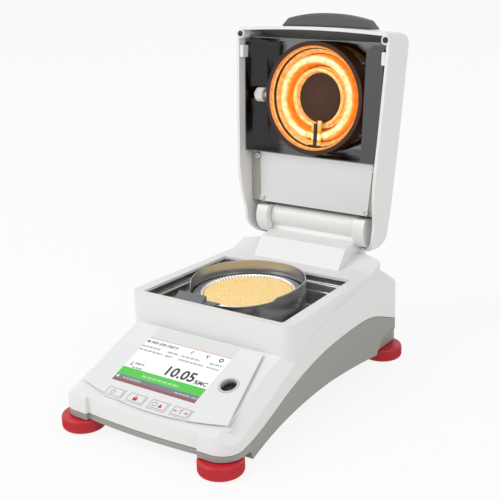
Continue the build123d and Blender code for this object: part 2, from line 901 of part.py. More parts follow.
# Display: window film, panel behind it, four keys and the bubble level
with BuildPart() as display_window:
    with BuildSketch(console_plane(plateau_rise - window_thick)) as film:
        with BuildLine():
            plateau_outline(window_inset + 0.15)
        make_face()
        with Locations(*key_places):
            Rectangle(key_width + 2 * key_gap, key_depth + 2 * key_gap, mode=Mode.SUBTRACT)
        with Locations(level_place):
            Circle(level_r + 0.3, mode=Mode.SUBTRACT)
    extrude(amount=window_thick)
save(display_window, "display_window")

with BuildPart() as display_panel:
    with BuildSketch(console_plane(plateau_rise - window_thick - panel_thick)) as lcd:
        with Locations((screen_x, screen_top - screen_height / 2)):
            Rectangle(screen_width, screen_height)
    extrude(amount=panel_thick)
save(display_panel, "display_panel")

for number, place in enumerate(key_places, 1):
    with BuildPart() as key:
        with BuildSketch(console_plane(key_low)) as key_face:
            with Locations(place):
                RectangleRounded(key_width, key_depth, 0.8)
        extrude(amount=plateau_rise + key_proud - key_low)
    save(key, f"key_{number}")

with BuildPart() as level_vial:
    with BuildSketch(console_plane(plateau_rise - level_depth)) as vial:
        with Locations(level_place):
            Circle(level_r - 1.5)
    extrude(amount=level_depth - 1)
save(level_vial, "level_vial")

with BuildPart() as level_bezel:
    with BuildSketch(console_plane(plateau_rise - level_depth - 1)) as bezel:
        with Locations(level_place):
            Circle(level_r)
    extrude(amount=level_depth + 1.3)
    with BuildSketch(console_plane(plateau_rise - level_depth)) as bezel_way:
        with Locations(level_place):
            Circle(level_r - 1.5)
    extrude(amount=level_depth + 2, mode=Mode.SUBTRACT)
save(level_bezel, "level_bezel")

# Levelling feet: a ribbed wheel on each stud, over a soft pad
for name, place in foot_places.items():
    with BuildPart() as wheel:
        with BuildSketch(Plane.XY.offset(wheel_low_z)) as wheel_plan:
            with Locations(place):
                Circle(wheel_r)
        extrude(amount=wheel_top_z - wheel_low_z)
        fillet(wheel.edges(), 2)
        with BuildSketch(Plane.XY.offset(wheel_low_z)) as wheel_ways:
            with Locations(place):
                Circle(pad_r + 0.3)
        extrude(amount=pad_thick, mode=Mode.SUBTRACT)
        with BuildSketch(Plane.XY.offset(wheel_low_z)) as stud_hole:
            with Locations(place):
                Circle(stud_r + stud_clearance)
        extrude(amount=wheel_top_z, mode=Mode.SUBTRACT)
    save(wheel, f"{name}_wheel")
    with BuildPart() as foot:
        with BuildSketch() as pad:
            with Locations(place):
                Circle(pad_r)
        extrude(amount=pad_thick)
        with BuildSketch(Plane.XY.offset(pad_thick)) as stud:
            with Locations(place):
                Circle(stud_r)
        extrude(amount=stud_top_z - pad_thick)
    save(foot, f"{name}_foot")

# Hinge pin through the barrel and both ears
with BuildPart() as hinge_pin:
    with BuildSketch(Plane.YZ.offset(-neck_half - ear_gap - ear_width)) as pin:
        with Locations((hinge_y, hinge_z)):
            Circle(pin_r)
    extrude(amount=2 * (neck_half + ear_gap + ear_width))
save(hinge_pin, "hinge_pin")


def lid_outline(inset=0.0):
    """Lid seen on its rim, narrower at the hinge, with a slightly bowed edge at the handle."""
    Polyline(
        (lid_half_top - inset, lid_corner_s - inset),
        (lid_half_mid - inset, lid_waist_s),
        (lid_half_low - inset, lid_bend_s),
        (lid_half_low - 4 - inset, inset - lid_tail),
        (inset + 4 - lid_half_low, inset - lid_tail),
        (inset - lid_half_low, lid_bend_s),
        (inset - lid_half_mid, lid_waist_s),
        (inset - lid_half_top, lid_corner_s - inset),
    )
    ThreePointArc(
        (inset - lid_half_top, lid_corner_s - inset),
        (0, lid_corner_s + lid_bow - inset),
        (lid_half_top - inset, lid_corner_s - inset),
    )


def rim_profile(lift=0.0):
    """Side view of the rim: straight at the chamber, then concentric with the hinge."""
    low = rim_low_n + lift
    Spline(
        (rim_bend_s + 12, rim_n + lift),
        (rim_bend_s - 14, rim_n - 2.6 + lift),
        (12, low + 2),
        (0, low),
        tangents=((-1, 0), (-1, 0)),
    )
    ThreePointArc((0, low), (-low * cos(pi / 4), low * sin(pi / 4)), (-low, 0))
    Polyline(
        (-low, 0),
        (-low - 12, -5),
        (-low - 12, rim_n + 20),
        (rim_bend_s + 12, rim_n + 20),
        (rim_bend_s + 12, rim_n + lift),
    )


# Room inside the lid, chamfered along the back edge to follow the shell's rounding
with BuildPart() as lid_room:
    with BuildSketch(lid_plane.offset(wall - lid_back)) as room_core:
        with BuildLine():
            lid_outline(lid_edge_r)
        make_face()
        fillet(room_core.vertices().group_by(Axis.Y)[0], lid_tail_r - lid_edge_r)
    extrude(amount=lid_edge_r - wall, taper=-45)
    with BuildSketch(lid_plane.offset(lid_edge_r - lid_back)) as room_front:
        with BuildLine():
            lid_outline(wall)
        make_face()
        fillet(room_front.vertices().group_by(Axis.Y)[0], lid_tail_r - wall)
        fillet(room_front.vertices().group_by(Axis.Y)[-1], lid_corner_r - wall)
    extrude(amount=lid_back + rim_n)

# Lid shell, with its rim drawn back round the hinge
with BuildPart() as lid_shell:
    with BuildSketch(lid_plane.offset(-lid_back)) as shell_plan:
        with BuildLine():
            lid_outline()
        make_face()
        fillet(shell_plan.vertices().group_by(Axis.Y)[0], lid_tail_r)
        fillet(shell_plan.vertices().group_by(Axis.Y)[-1], lid_corner_r)
    extrude(amount=lid_back + rim_n)
    fillet(lid_shell.faces().sort_by(Axis(lid_plane.origin, lid_plane.z_dir))[0].edges(), lid_edge_r)
    add(lid_room.part, mode=Mode.SUBTRACT)
    # Bosses for the bumpers in the two front corners
    with BuildSketch(lid_plane.offset(boss_low_n)) as bumper_bosses:
        with Locations((-bumper_x, bumper_s), (bumper_x, bumper_s)):
            Circle(boss_r)
    extrude(amount=rim_n - boss_low_n)
    with BuildSketch(lid_plane.offset(rim_n - bumper_seat)) as bumper_seats:
        with Locations((-bumper_x, bumper_s), (bumper_x, bumper_s)):
            Circle(bumper_r)
    extrude(amount=bumper_seat, mode=Mode.SUBTRACT)
    with BuildSketch(lid_side) as tail_cut:
        with BuildLine():
            rim_profile()
        make_face()
    extrude(amount=lid_half_top + 5, both=True, mode=Mode.SUBTRACT)
    # Way for the hinge neck
    with BuildSketch(lid_side) as neck_way:
        with Locations((-lid_tail + 5, neck_way_n + 30)):
            Rectangle(2 * lid_tail + 20, 60)
    extrude(amount=neck_half + 1, both=True, mode=Mode.SUBTRACT)
    # Vents over the heater and the heater's screw ways
    with BuildSketch(lid_plane.offset(-lid_back - 1)) as vents:
        with Locations((0, lamp_s)):
            with GridLocations(1, vent_pitch, 1, vent_count):
                SlotOverall(vent_length, vent_width)
    extrude(amount=wall + 3, mode=Mode.SUBTRACT)
save(lid_shell, "lid_shell")

# Ears beside the barrel, on the hinge pin
with BuildPart() as lid_ears:
    for side in (1, -1):
        near = neck_half + ear_gap
        start = -near - ear_width if side > 0 else near
        with BuildSketch(lid_side.offset(start)) as ear:
            Circle(ear_r)
            with Locations(((ear_high_s - ear_low_s) / 2, ear_back_n / 2)):
                Rectangle(ear_high_s + ear_low_s, -ear_back_n)
            with Locations((ear_high_s + ear_r, 0)):
                Rectangle(2 * ear_r, 3 * ear_r, mode=Mode.SUBTRACT)
            with Locations((0, ear_back_n - ear_r)):
                Rectangle(3 * ear_r, 2 * ear_r, mode=Mode.SUBTRACT)
            Circle(pin_r + pin_clearance, mode=Mode.SUBTRACT)
        extrude(amount=ear_width)
    add(lid_room.part, mode=Mode.INTERSECT)
save(lid_ears, "lid_ears")

# Mirror-finished liner round the heater
with BuildPart() as lid_liner:
    for inset, low, mode in (
        (wall + 0.4, lid_edge_r - lid_back + 0.4, Mode.ADD),
        (lid_edge_r + 0.4, liner_back_n, Mode.ADD),
        (wall + 0.4 + liner_sheet, lid_edge_r - lid_back + 0.4 + liner_sheet, Mode.SUBTRACT),
        (lid_edge_r + 0.4 + liner_sheet, liner_back_n + liner_sheet, Mode.SUBTRACT),
    ):
        room = mode == Mode.SUBTRACT
        with BuildSketch(lid_plane.offset(low)) as liner_plan:
            with BuildLine():
                lid_outline(inset)
            make_face()
            with Locations((0, liner_low_s - 100 + (liner_sheet if room else 0))):
                Rectangle(2 * lid_half_top, 200, mode=Mode.SUBTRACT)
            with Locations((0, liner_top_s + 50 - (liner_sheet if room else 0))):
                Rectangle(2 * lid_half_top, 100, mode=Mode.SUBTRACT)
            fillet(liner_plan.vertices().group_by(Axis.Y)[-1], lid_corner_r)
        extrude(amount=liner_front_n - low + (1 if room else 0), mode=mode)
    with BuildSketch(lid_plane.offset(liner_back_n - 1)) as liner_vents:
        with Locations((0, lamp_s)):
            with GridLocations(1, vent_pitch, 1, vent_count):
                SlotOverall(vent_length, vent_width)
    extrude(amount=liner_sheet + 2, mode=Mode.SUBTRACT)
save(lid_liner, "lid_liner")

# Sheet panel below the heater, screwed to four posts of the shell
panel_screw_places = [(-61.7, 17.6), (61.7, 17.6), (-68.3, 60.5), (68.3, 60.5)]
with BuildPart() as lid_posts:
    with BuildSketch(lid_plane.offset(wall - lid_back)) as posts:
        with Locations(*panel_screw_places):
            Circle(4)
    extrude(amount=panel_n - panel_sheet - frame_sheet - wall + lid_back)
    add(lid_room.part, mode=Mode.INTERSECT)
    with BuildSketch(lid_plane.offset(panel_n - panel_sheet - 8)) as post_ways:
        with Locations(*panel_screw_places):
            Circle(1.5)
    extrude(amount=9, mode=Mode.SUBTRACT)
save(lid_posts, "lid_posts")

with BuildPart() as lid_panel:
    with BuildSketch(lid_plane.offset(panel_n - panel_sheet)) as panel_plan:
        with BuildLine():
            Polyline(
                (panel_half_low, panel_low_s),
                (panel_half_high, panel_high_s),
                (-panel_half_high, panel_high_s),
                (-panel_half_low, panel_low_s),
                close=True,
            )
        make_face()
        with Locations(*panel_screw_places):
            Circle(1.5, mode=Mode.SUBTRACT)
    extrude(amount=panel_sheet)
save(lid_panel, "lid_panel")

with BuildPart() as panel_frame:
    with BuildSketch(lid_plane.offset(panel_n - panel_sheet - frame_sheet)) as frame_plan:
        with BuildLine():
            lid_outline(wall + panel_gap)
        make_face()
        with Locations((0, (panel_low_s + panel_high_s) / 2)):
            Rectangle(2 * lid_half_top, panel_high_s - panel_low_s, mode=Mode.INTERSECT)
        with Locations(*panel_screw_places):
            Circle(1.5, mode=Mode.SUBTRACT)
    extrude(amount=frame_sheet)
save(panel_frame, "panel_frame")

with BuildPart() as panel_screws:
    with BuildSketch(lid_plane.offset(panel_n)) as panel_heads:
        with Locations(*panel_screw_places):
            Circle(3)
    extrude(amount=2)
    fillet(panel_screws.faces().filter_by(GeomType.PLANE).edges().group_by(Axis.Y)[0], 0.5)
    with BuildSketch(lid_plane.offset(panel_n - 7)) as panel_shanks:
        with Locations(*panel_screw_places):
            Circle(1.5)
    extrude(amount=7.5)
    with BuildSketch(lid_plane.offset(panel_n + 1)) as panel_drives:
        with Locations(*panel_screw_places):
            RegularPolygon(1.5, 6)
    extrude(amount=2, mode=Mode.SUBTRACT)
save(panel_screws, "panel_screws")

# Heater: stepped reflector dish, halogen tube ring, centre disc and what holds them
lamp_plane = Plane(
    origin=lid_plane.from_local_coords(Vector(0, lamp_s, 0)), x_dir=(1, 0, 0), z_dir=lid_plane.z_dir
)
lamp_back_n = lamp_front_n - lamp_depth
with BuildPart() as lamp_reflector:
    for outer, inner, low, high in (
        (lamp_r, lamp_r - 1.5, lamp_back_n, lamp_front_n),
        (lamp_r - 1.5, lamp_r - 6.5, lamp_back_n, lamp_back_n + 9),
        (lamp_r - 6.5, lamp_r - 11, lamp_back_n, lamp_back_n + 4),
        (lamp_r - 11, lamp_hole_r - 3, lamp_back_n, lamp_back_n + 1.5),
    ):
        with BuildSketch(lamp_plane.offset(low)) as dish_step:
            Circle(outer)
            Circle(inner, mode=Mode.SUBTRACT)
        extrude(amount=high - low)
save(lamp_reflector, "lamp_reflector")

with BuildPart() as lamp_cap:
    with BuildSketch(lamp_plane.offset(lamp_back_n + 1.5)) as cap_plan:
        Circle(lamp_hole_r)
    extrude(amount=3)
    fillet(lamp_cap.faces().sort_by(Axis.Y)[0].edges(), 1)
save(lamp_cap, "lamp_cap")

with BuildPart() as lamp_tube:
    with BuildSketch(
        Plane(origin=lamp_plane.origin, x_dir=(1, 0, 0), z_dir=-lid_plane.y_dir)
    ) as tube_cut:
        with Locations((tube_ring_r, tube_n)):
            Circle(tube_r)
    revolve(axis=Axis(lamp_plane.origin, lamp_plane.z_dir), revolution_arc=360 - tube_gap)
    start_turn = -90 + tube_gap / 2
    moved_tube = lamp_tube.part.rotate(Axis(lamp_plane.origin, lamp_plane.z_dir), start_turn)
with BuildPart() as lamp_tube:
    add(moved_tube)
    # Pinched ends that stand in the dish
    tube_end_x = tube_ring_r * sin(radians(tube_gap / 2))
    tube_end_s = tube_ring_r * cos(radians(tube_gap / 2))
    with BuildSketch(lamp_plane.offset(lamp_back_n + 1.5)) as tube_ends:
        with Locations((-tube_end_x, -tube_end_s), (tube_end_x, -tube_end_s)):
            Circle(tube_r - 1)
    extrude(amount=tube_n - lamp_back_n - 1.5)
save(lamp_tube, "lamp_tube")

with BuildPart() as lamp_posts:
    with BuildSketch(lamp_plane.offset(liner_back_n + liner_sheet)) as lamp_feet:
        with PolarLocations(lamp_r - 7, 4, start_angle=45):
            Circle(3)
    extrude(amount=lamp_back_n - liner_back_n - liner_sheet)
save(lamp_posts, "lamp_posts")

sensor_low_s = lamp_s - lamp_r + 1.8
with BuildPart() as temperature_sensor:
    with BuildSketch(
        Plane(
            origin=lid_plane.from_local_coords(Vector(0, sensor_low_s, sensor_n)),
            x_dir=(1, 0, 0),
            z_dir=lid_plane.y_dir,
        )
    ) as sensor_rod:
        Circle(sensor_r)
    extrude(amount=lamp_s - lamp_hole_r - 1 - sensor_low_s)
save(temperature_sensor, "temperature_sensor")

# Dark air baffle beside the heater, standing on the liner
with BuildPart() as side_flap:
    with BuildSketch(lid_plane.offset(flap_n - 1)) as flap_face:
        with BuildLine():
            Polyline(
                (flap_in_x, flap_low_s),
                (flap_out_x, flap_low_s),
                (flap_out_x, flap_high_s - 2),
                (flap_in_x + 8, flap_high_s - 2),
                (flap_in_x, flap_high_s - 7),
                close=True,
            )
        make_face()
    extrude(amount=1)
    with BuildSketch(lid_plane.offset(flap_foot_n)) as flap_leg:
        with Locations((flap_in_x + 0.5, (flap_low_s + flap_high_s) / 2)):
            Rectangle(1, flap_high_s - flap_low_s - 14)
    extrude(amount=flap_n - flap_foot_n)
save(side_flap, "side_flap")

# Handle, bumpers and clips on the lid's edge
with BuildPart() as lid_handle:
    with BuildSketch(lid_plane.offset(handle_low_n)) as handle_face:
        with BuildLine():
            Polyline(
                (handle_half - 8, lid_length + handle_reach * 0.6),
                (handle_half, lid_length + 0.3),
                (-handle_half, lid_length + 0.3),
                (8 - handle_half, lid_length + handle_reach * 0.6),
            )
            ThreePointArc(
                (8 - handle_half, lid_length + handle_reach * 0.6),
                (0, lid_length + handle_reach),
                (handle_half - 8, lid_length + handle_reach * 0.6),
            )
        make_face()
        fillet(handle_face.vertices().filter_by(lambda v: v.Y > lid_length + 5), 6)
    extrude(amount=handle_thick)
    with BuildSketch(lid_plane.offset(handle_low_n - 1)) as handle_way:
        with BuildLine():
            lid_outline(-0.05)
        make_face()
    extrude(amount=handle_thick + 2, mode=Mode.SUBTRACT)
save(lid_handle, "lid_handle")

with BuildPart() as lid_bumpers:
    with BuildSketch(lid_plane.offset(rim_n - bumper_seat)) as bumper_stems:
        with Locations((-bumper_x, bumper_s), (bumper_x, bumper_s)):
            Circle(bumper_r)
    extrude(amount=bumper_seat + bumper_height)
    fillet(lid_bumpers.faces().sort_by(Axis.Y)[0:2].edges(), 0.4)
save(lid_bumpers, "lid_bumpers")

with BuildPart() as lid_clips:
    clip_share = (clip_s - lid_waist_s) / (lid_corner_s - lid_waist_s)
    clip_half = lid_half_mid + (lid_half_top - lid_half_mid) * clip_share
    clip_x = clip_half - wall - clip_width / 2 - 0.4
    with BuildSketch(lid_plane.offset(liner_front_n + 0.2)) as clip_plan:
        with Locations((-clip_x, clip_s), (clip_x, clip_s)):
            Rectangle(clip_width, 3 * clip_width)
    extrude(amount=rim_n - 1 - liner_front_n)
save(lid_clips, "lid_clips")
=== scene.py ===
import json
import math

import bmesh
import bpy
from mathutils import Matrix, Vector

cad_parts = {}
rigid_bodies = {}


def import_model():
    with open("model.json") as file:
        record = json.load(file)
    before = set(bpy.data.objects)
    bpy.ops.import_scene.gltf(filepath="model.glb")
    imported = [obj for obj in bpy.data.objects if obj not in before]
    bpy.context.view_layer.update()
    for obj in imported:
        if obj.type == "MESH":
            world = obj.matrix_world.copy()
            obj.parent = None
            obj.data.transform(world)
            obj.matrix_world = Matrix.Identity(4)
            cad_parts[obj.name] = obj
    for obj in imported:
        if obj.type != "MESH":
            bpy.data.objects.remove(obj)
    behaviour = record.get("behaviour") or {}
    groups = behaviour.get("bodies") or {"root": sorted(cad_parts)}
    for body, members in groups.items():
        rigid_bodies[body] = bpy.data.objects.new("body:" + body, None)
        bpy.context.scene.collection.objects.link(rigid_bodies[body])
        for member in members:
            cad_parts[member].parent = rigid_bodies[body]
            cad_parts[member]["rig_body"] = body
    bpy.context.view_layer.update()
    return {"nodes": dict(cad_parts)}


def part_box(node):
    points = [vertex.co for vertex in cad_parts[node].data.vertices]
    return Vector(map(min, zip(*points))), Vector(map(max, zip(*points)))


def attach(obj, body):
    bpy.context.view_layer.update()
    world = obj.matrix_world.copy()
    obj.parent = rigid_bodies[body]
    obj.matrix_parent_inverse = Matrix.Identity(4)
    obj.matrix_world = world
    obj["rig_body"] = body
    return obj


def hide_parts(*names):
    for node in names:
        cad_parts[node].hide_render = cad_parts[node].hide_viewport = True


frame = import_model()


# Lower housing: the grey moulded tray that everything stands in, with an S-shaped parting
# line and arches over the wheels. It is injection-moulded with a fine spark-eroded grain.
def moulded_plastic(name, colour, roughness=0.42, grain=0.05, mottle=0.03):
    """Injection-moulded plastic: fine eroded grain and a slightly uneven sheen."""
    material = bpy.data.materials.new(name)
    material.use_nodes = True
    nodes, links = material.node_tree.nodes, material.node_tree.links
    shader = nodes["Principled BSDF"]
    place = nodes.new("ShaderNodeTexCoord")
    cloud = nodes.new("ShaderNodeTexNoise")
    cloud.inputs["Scale"].default_value = 14
    cloud.inputs["Detail"].default_value = 3
    links.new(place.outputs["Object"], cloud.inputs["Vector"])
    tone = nodes.new("ShaderNodeMix")
    tone.data_type = "RGBA"
    tone.inputs["A"].default_value = (*[c * (1 - mottle) for c in colour], 1)
    tone.inputs["B"].default_value = (*[min(1, c * (1 + mottle)) for c in colour], 1)
    links.new(cloud.outputs["Fac"], tone.inputs["Factor"])
    links.new(tone.outputs["Result"], shader.inputs["Base Color"])
    sheen = nodes.new("ShaderNodeMapRange")
    sheen.inputs["To Min"].default_value = roughness - 0.04
    sheen.inputs["To Max"].default_value = roughness + 0.04
    links.new(cloud.outputs["Fac"], sheen.inputs["Value"])
    links.new(sheen.outputs["Result"], shader.inputs["Roughness"])
    eroded = nodes.new("ShaderNodeTexNoise")
    eroded.inputs["Scale"].default_value = 2200
    eroded.inputs["Detail"].default_value = 2
    links.new(place.outputs["Object"], eroded.inputs["Vector"])
    bump = nodes.new("ShaderNodeBump")
    bump.inputs["Strength"].default_value = grain
    bump.inputs["Distance"].default_value = 0.0002
    links.new(eroded.outputs["Fac"], bump.inputs["Height"])
    links.new(bump.outputs["Normal"], shader.inputs["Normal"])
    return material


def dress(node, material, rounding=0.0, segments=2, sharp=28, join_flats=True):
    """Stands in for a CAD node with its edges rounded and its curved faces smooth.

    A flat face with many openings keeps its triangles when join_flats is false.
    """
    source = frame["nodes"][node]
    mesh = source.data.copy()
    mesh.name = node + "_skin"
    shape = bmesh.new()
    shape.from_mesh(mesh)
    bmesh.ops.remove_doubles(shape, verts=shape.verts, dist=2e-6)
    if join_flats:
        bmesh.ops.dissolve_limit(
            shape, angle_limit=math.radians(0.5), verts=shape.verts, edges=shape.edges
        )
    for face in shape.faces:
        face.smooth = True
    for edge in shape.edges:
        edge.smooth = len(edge.link_faces) == 2 and edge.calc_face_angle(0) < math.radians(sharp)
    shape.to_mesh(mesh)
    shape.free()
    mesh.materials.clear()
    mesh.materials.append(material)
    piece = bpy.data.objects.new(node + "_skin", mesh)
    bpy.context.scene.collection.objects.link(piece)
    if rounding:
        bevel = piece.modifiers.new("rounding", "BEVEL")
        bevel.width = rounding
        bevel.segments = segments
        bevel.limit_method = "ANGLE"
        bevel.angle_limit = math.radians(sharp)
        bevel.harden_normals = True
        bevel.use_clamp_overlap = True
    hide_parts(node)
    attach(piece, source["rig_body"])
    return piece


def finish(node, material):
    """Gives a CAD node its material."""
    mesh = frame["nodes"][node].data
    mesh.materials.clear()
    mesh.materials.append(material)


warm_grey = moulded_plastic("warm_grey_plastic", (0.34, 0.33, 0.305), 0.5, 0.08)
dress("lower_housing", warm_grey, 0.0006)


# Housing screws: zinc-plated socket heads in four pockets under the tray, which hold both
# housings together.
def plated_metal(name, colour, roughness, scratch=0.15, stretch=(1, 1, 1), scale=300):
    """Metal with a fine drawn or brushed texture, stretched along its grain."""
    material = bpy.data.materials.new(name)
    material.use_nodes = True
    nodes, links = material.node_tree.nodes, material.node_tree.links
    shader = nodes["Principled BSDF"]
    shader.inputs["Base Color"].default_value = (*colour, 1)
    shader.inputs["Metallic"].default_value = 1.0
    place = nodes.new("ShaderNodeTexCoord")
    grain_run = nodes.new("ShaderNodeMapping")
    grain_run.inputs["Scale"].default_value = stretch
    links.new(place.outputs["Object"], grain_run.inputs["Vector"])
    grain = nodes.new("ShaderNodeTexNoise")
    grain.inputs["Scale"].default_value = scale
    grain.inputs["Detail"].default_value = 4
    links.new(grain_run.outputs["Vector"], grain.inputs["Vector"])
    spread = nodes.new("ShaderNodeMapRange")
    spread.inputs["To Min"].default_value = max(0.02, roughness - scratch * 0.5)
    spread.inputs["To Max"].default_value = roughness + scratch * 0.5
    links.new(grain.outputs["Fac"], spread.inputs["Value"])
    links.new(spread.outputs["Result"], shader.inputs["Roughness"])
    bump = nodes.new("ShaderNodeBump")
    bump.inputs["Strength"].default_value = scratch
    bump.inputs["Distance"].default_value = 0.00005
    links.new(grain.outputs["Fac"], bump.inputs["Height"])
    links.new(bump.outputs["Normal"], shader.inputs["Normal"])
    return material


zinc = plated_metal("zinc_plate", (0.62, 0.62, 0.63), 0.32)
dress("housing_screws", zinc, 0.0003)


# Levelling feet: a black pad on a threaded stud under each corner, turned by a red wheel
# with a finely ribbed rim.
black_rubber = moulded_plastic("black_rubber", (0.022, 0.022, 0.024), 0.7, 0.2)
red_plastic = moulded_plastic("red_plastic", (0.56, 0.008, 0.018), 0.38, 0.05)
wheel_radius = 0.0195
rib_count = 72
rib_width = 0.00085
rib_height = 0.0004
for corner in ("front_left", "front_right", "rear_left", "rear_right"):
    finish(corner + "_foot", black_rubber)
    dress(corner + "_wheel", red_plastic, 0.0004)
    low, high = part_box(corner + "_wheel")
    middle = (low + high) / 2
    ribs = bmesh.new()
    bmesh.ops.create_cube(ribs, size=1)
    bmesh.ops.scale(ribs, vec=(rib_height * 2, rib_width, high.z - low.z - 0.0045), verts=ribs.verts)
    bmesh.ops.bevel(
        ribs,
        geom=[e for e in ribs.edges if e.verts[0].co.x > 0 and e.verts[1].co.x > 0],
        offset=rib_height * 0.6,
        segments=1,
        affect="EDGES",
        profile=0.5,
        material=-1,
    )
    bmesh.ops.translate(ribs, vec=(middle.x + wheel_radius, middle.y, middle.z), verts=ribs.verts)
    bmesh.ops.spin(
        ribs,
        geom=ribs.verts[:] + ribs.edges[:] + ribs.faces[:],
        cent=middle,
        axis=(0, 0, 1),
        angle=math.tau,
        steps=rib_count,
        use_duplicate=True,
    )
    mesh = bpy.data.meshes.new(corner + "_ribs")
    ribs.to_mesh(mesh)
    ribs.free()
    mesh.materials.append(red_plastic)
    rim = bpy.data.objects.new(corner + "_ribs", mesh)
    bpy.context.scene.collection.objects.link(rim)
    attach(rim, corner + "_wheel")


# Weighing cell, boards and their pillars: milled and cast alloy, brass and green laminate
# inside the housing, seen only with the tray out.
milled_alloy = plated_metal("milled_alloy", (0.72, 0.72, 0.74), 0.35, 0.2, (1, 6, 1))
cast_alloy = plated_metal("cast_alloy", (0.5, 0.5, 0.51), 0.55, 0.4)
turned_brass = plated_metal("turned_brass", (0.72, 0.52, 0.22), 0.3, 0.15, (1, 1, 8))
green_board = moulded_plastic("green_board", (0.02, 0.14, 0.06), 0.35, 0.1, 0.15)
finish("load_cell", milled_alloy)
finish("cell_post", milled_alloy)
finish("cell_bracket", cast_alloy)
finish("board_pillars", turned_brass)
finish("main_board", green_board)
finish("power_supply", green_board)


# Connector panel: a black textured plate in the back wall with the mains inlet, a serial
# port and two USB sockets.
black_plastic = moulded_plastic("black_plastic", (0.02, 0.02, 0.021), 0.45, 0.12)
dress("rear_panel", black_plastic, 0.0003)
dress("power_inlet", black_plastic, 0.0002)
tin_plate = plated_metal("tin_plate", (0.6, 0.6, 0.58), 0.3)
dress("serial_port", tin_plate, 0.0002)
dress("usb_ports", tin_plate, 0.0002)


# Upper housing: the white moulded cover with the deck round the chamber, the console and
# the hinge neck that ends in a barrel.
white_plastic = moulded_plastic("white_plastic", (0.84, 0.84, 0.83), 0.36, 0.04, 0.008)
dress("upper_housing", white_plastic, 0.0011, 3)


# Chamber tray: one pressing of polished stainless steel that lines the opening. A bead runs
# round it under the deck and a broad step runs along both sides.
def polished_steel(name, colour, roughness, wave=0.25):
    """Pressed, polished sheet: broad soft waves from the press and fine polishing haze."""
    material = plated_metal(name, colour, roughness, 0.06, (1, 1, 1), 500)
    nodes, links = material.node_tree.nodes, material.node_tree.links
    shader = nodes["Principled BSDF"]
    press = nodes.new("ShaderNodeTexNoise")
    press.inputs["Scale"].default_value = 28
    press.inputs["Detail"].default_value = 1
    links.new(nodes["Texture Coordinate"].outputs["Object"], press.inputs["Vector"])
    swell = nodes.new("ShaderNodeBump")
    swell.inputs["Strength"].default_value = wave
    swell.inputs["Distance"].default_value = 0.002
    links.new(press.outputs["Fac"], swell.inputs["Height"])
    links.new(nodes["Bump"].outputs["Normal"], swell.inputs["Normal"])
    links.new(swell.outputs["Normal"], shader.inputs["Normal"])
    return material


def new_piece(name, shape, material, body, smooth_under=30):
    """Makes an object of a finished bmesh, smooth where its faces meet softly."""
    bmesh.ops.remove_doubles(shape, verts=shape.verts, dist=1e-6)
    bmesh.ops.recalc_face_normals(shape, faces=shape.faces)
    for face in shape.faces:
        face.smooth = True
    for edge in shape.edges:
        bend = edge.calc_face_angle(math.pi) if len(edge.link_faces) == 2 else math.pi
        edge.smooth = bend < math.radians(smooth_under)
    mesh = bpy.data.meshes.new(name)
    shape.to_mesh(mesh)
    shape.free()
    mesh.materials.append(material)
    piece = bpy.data.objects.new(name, mesh)
    bpy.context.scene.collection.objects.link(piece)
    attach(piece, body)
    return piece


def skin(shape, rings):
    """Joins closed rings of the same number of points with faces, one ring to the next."""
    for first, last in zip(rings, rings[1:]):
        for i in range(len(first)):
            j = (i + 1) % len(first)
            shape.faces.new((first[i], first[j], last[j], last[i]))


stainless = polished_steel("polished_stainless", (0.4, 0.4, 0.4), 0.22, 0.6)
opening_middle_y = 0.0032
opening_front = 0.0588
opening_rear = 0.0632
opening_half_front = 0.0784
opening_half_rear = 0.0735
corner_steps = 6
# Each ring: how far it stands in at the sides, the front and the back, its corner radius
# and its height, in millimetres
pressing = bmesh.new()
rings = []
for side_in, front_in, rear_in, corner, height in (
    (1.2, 1.2, 1.2, 4.0, 97.1),
    (0.6, 0.6, 0.6, 4.0, 96.6),
    (0.6, 0.6, 0.6, 4.0, 91.8),
    (1.0, 0.9, 1.0, 4.0, 91.2),
    (4.6, 1.4, 2.4, 6.0, 90.6),
    (5.4, 1.6, 2.8, 6.5, 90.0),
    (5.6, 1.8, 3.0, 6.5, 84.0),
    (6.4, 2.0, 3.4, 7.0, 83.0),
    (11.4, 2.2, 4.0, 9.0, 82.4),
    (12.4, 2.4, 4.4, 9.5, 81.4),
    (13.0, 2.6, 4.8, 10.0, 70.8),
    (14.2, 2.9, 5.6, 10.5, 68.8),
    (16.4, 3.4, 7.0, 11.0, 68.2),
):
    front_half = opening_half_front - side_in / 1000
    rear_half = opening_half_rear - side_in / 1000
    front_y = opening_middle_y - opening_front + front_in / 1000
    rear_y = opening_middle_y + opening_rear - rear_in / 1000
    round_r = corner / 1000
    ring = []
    for turn, x, y in (
        (180, -front_half + round_r, front_y + round_r),
        (270, front_half - round_r, front_y + round_r),
        (0, rear_half - round_r, rear_y - round_r),
        (90, -rear_half + round_r, rear_y - round_r),
    ):
        for step in range(corner_steps + 1):
            angle = math.radians(turn + 90 * step / corner_steps)
            ring.append(
                pressing.verts.new(
                    (x + round_r * math.cos(angle), y + round_r * math.sin(angle), height / 1000)
                )
            )
    rings.append(ring)
skin(pressing, rings)
pressing.faces.new(rings[-1])
tray = new_piece("tray_pressing", pressing, stainless, "base", 50)
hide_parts("chamber_tray")


# Draft shield: a tall ring of rolled stainless sheet round the pan, cut down at the front
# and notched for the handler's grip.
ring_steel = polished_steel("shield_steel", (0.46, 0.46, 0.46), 0.3, 0.5)
dress("draft_shield", ring_steel, 0.0003)


# Pan support and pan handler: a four-armed stamping on a stem, and a flat ring with a dark
# plastic grip that lifts the pan out.
dress("pan_support", ring_steel, 0.0002)
dress("pan_handler", ring_steel, 0.0002)
grip_plastic = moulded_plastic("dark_grip_plastic", (0.085, 0.09, 0.095), 0.55, 0.12)
pale_grip = moulded_plastic("pale_grip_plastic", (0.15, 0.155, 0.16), 0.5, 0.12)
dress("handler_grip", pale_grip, 0.0006)


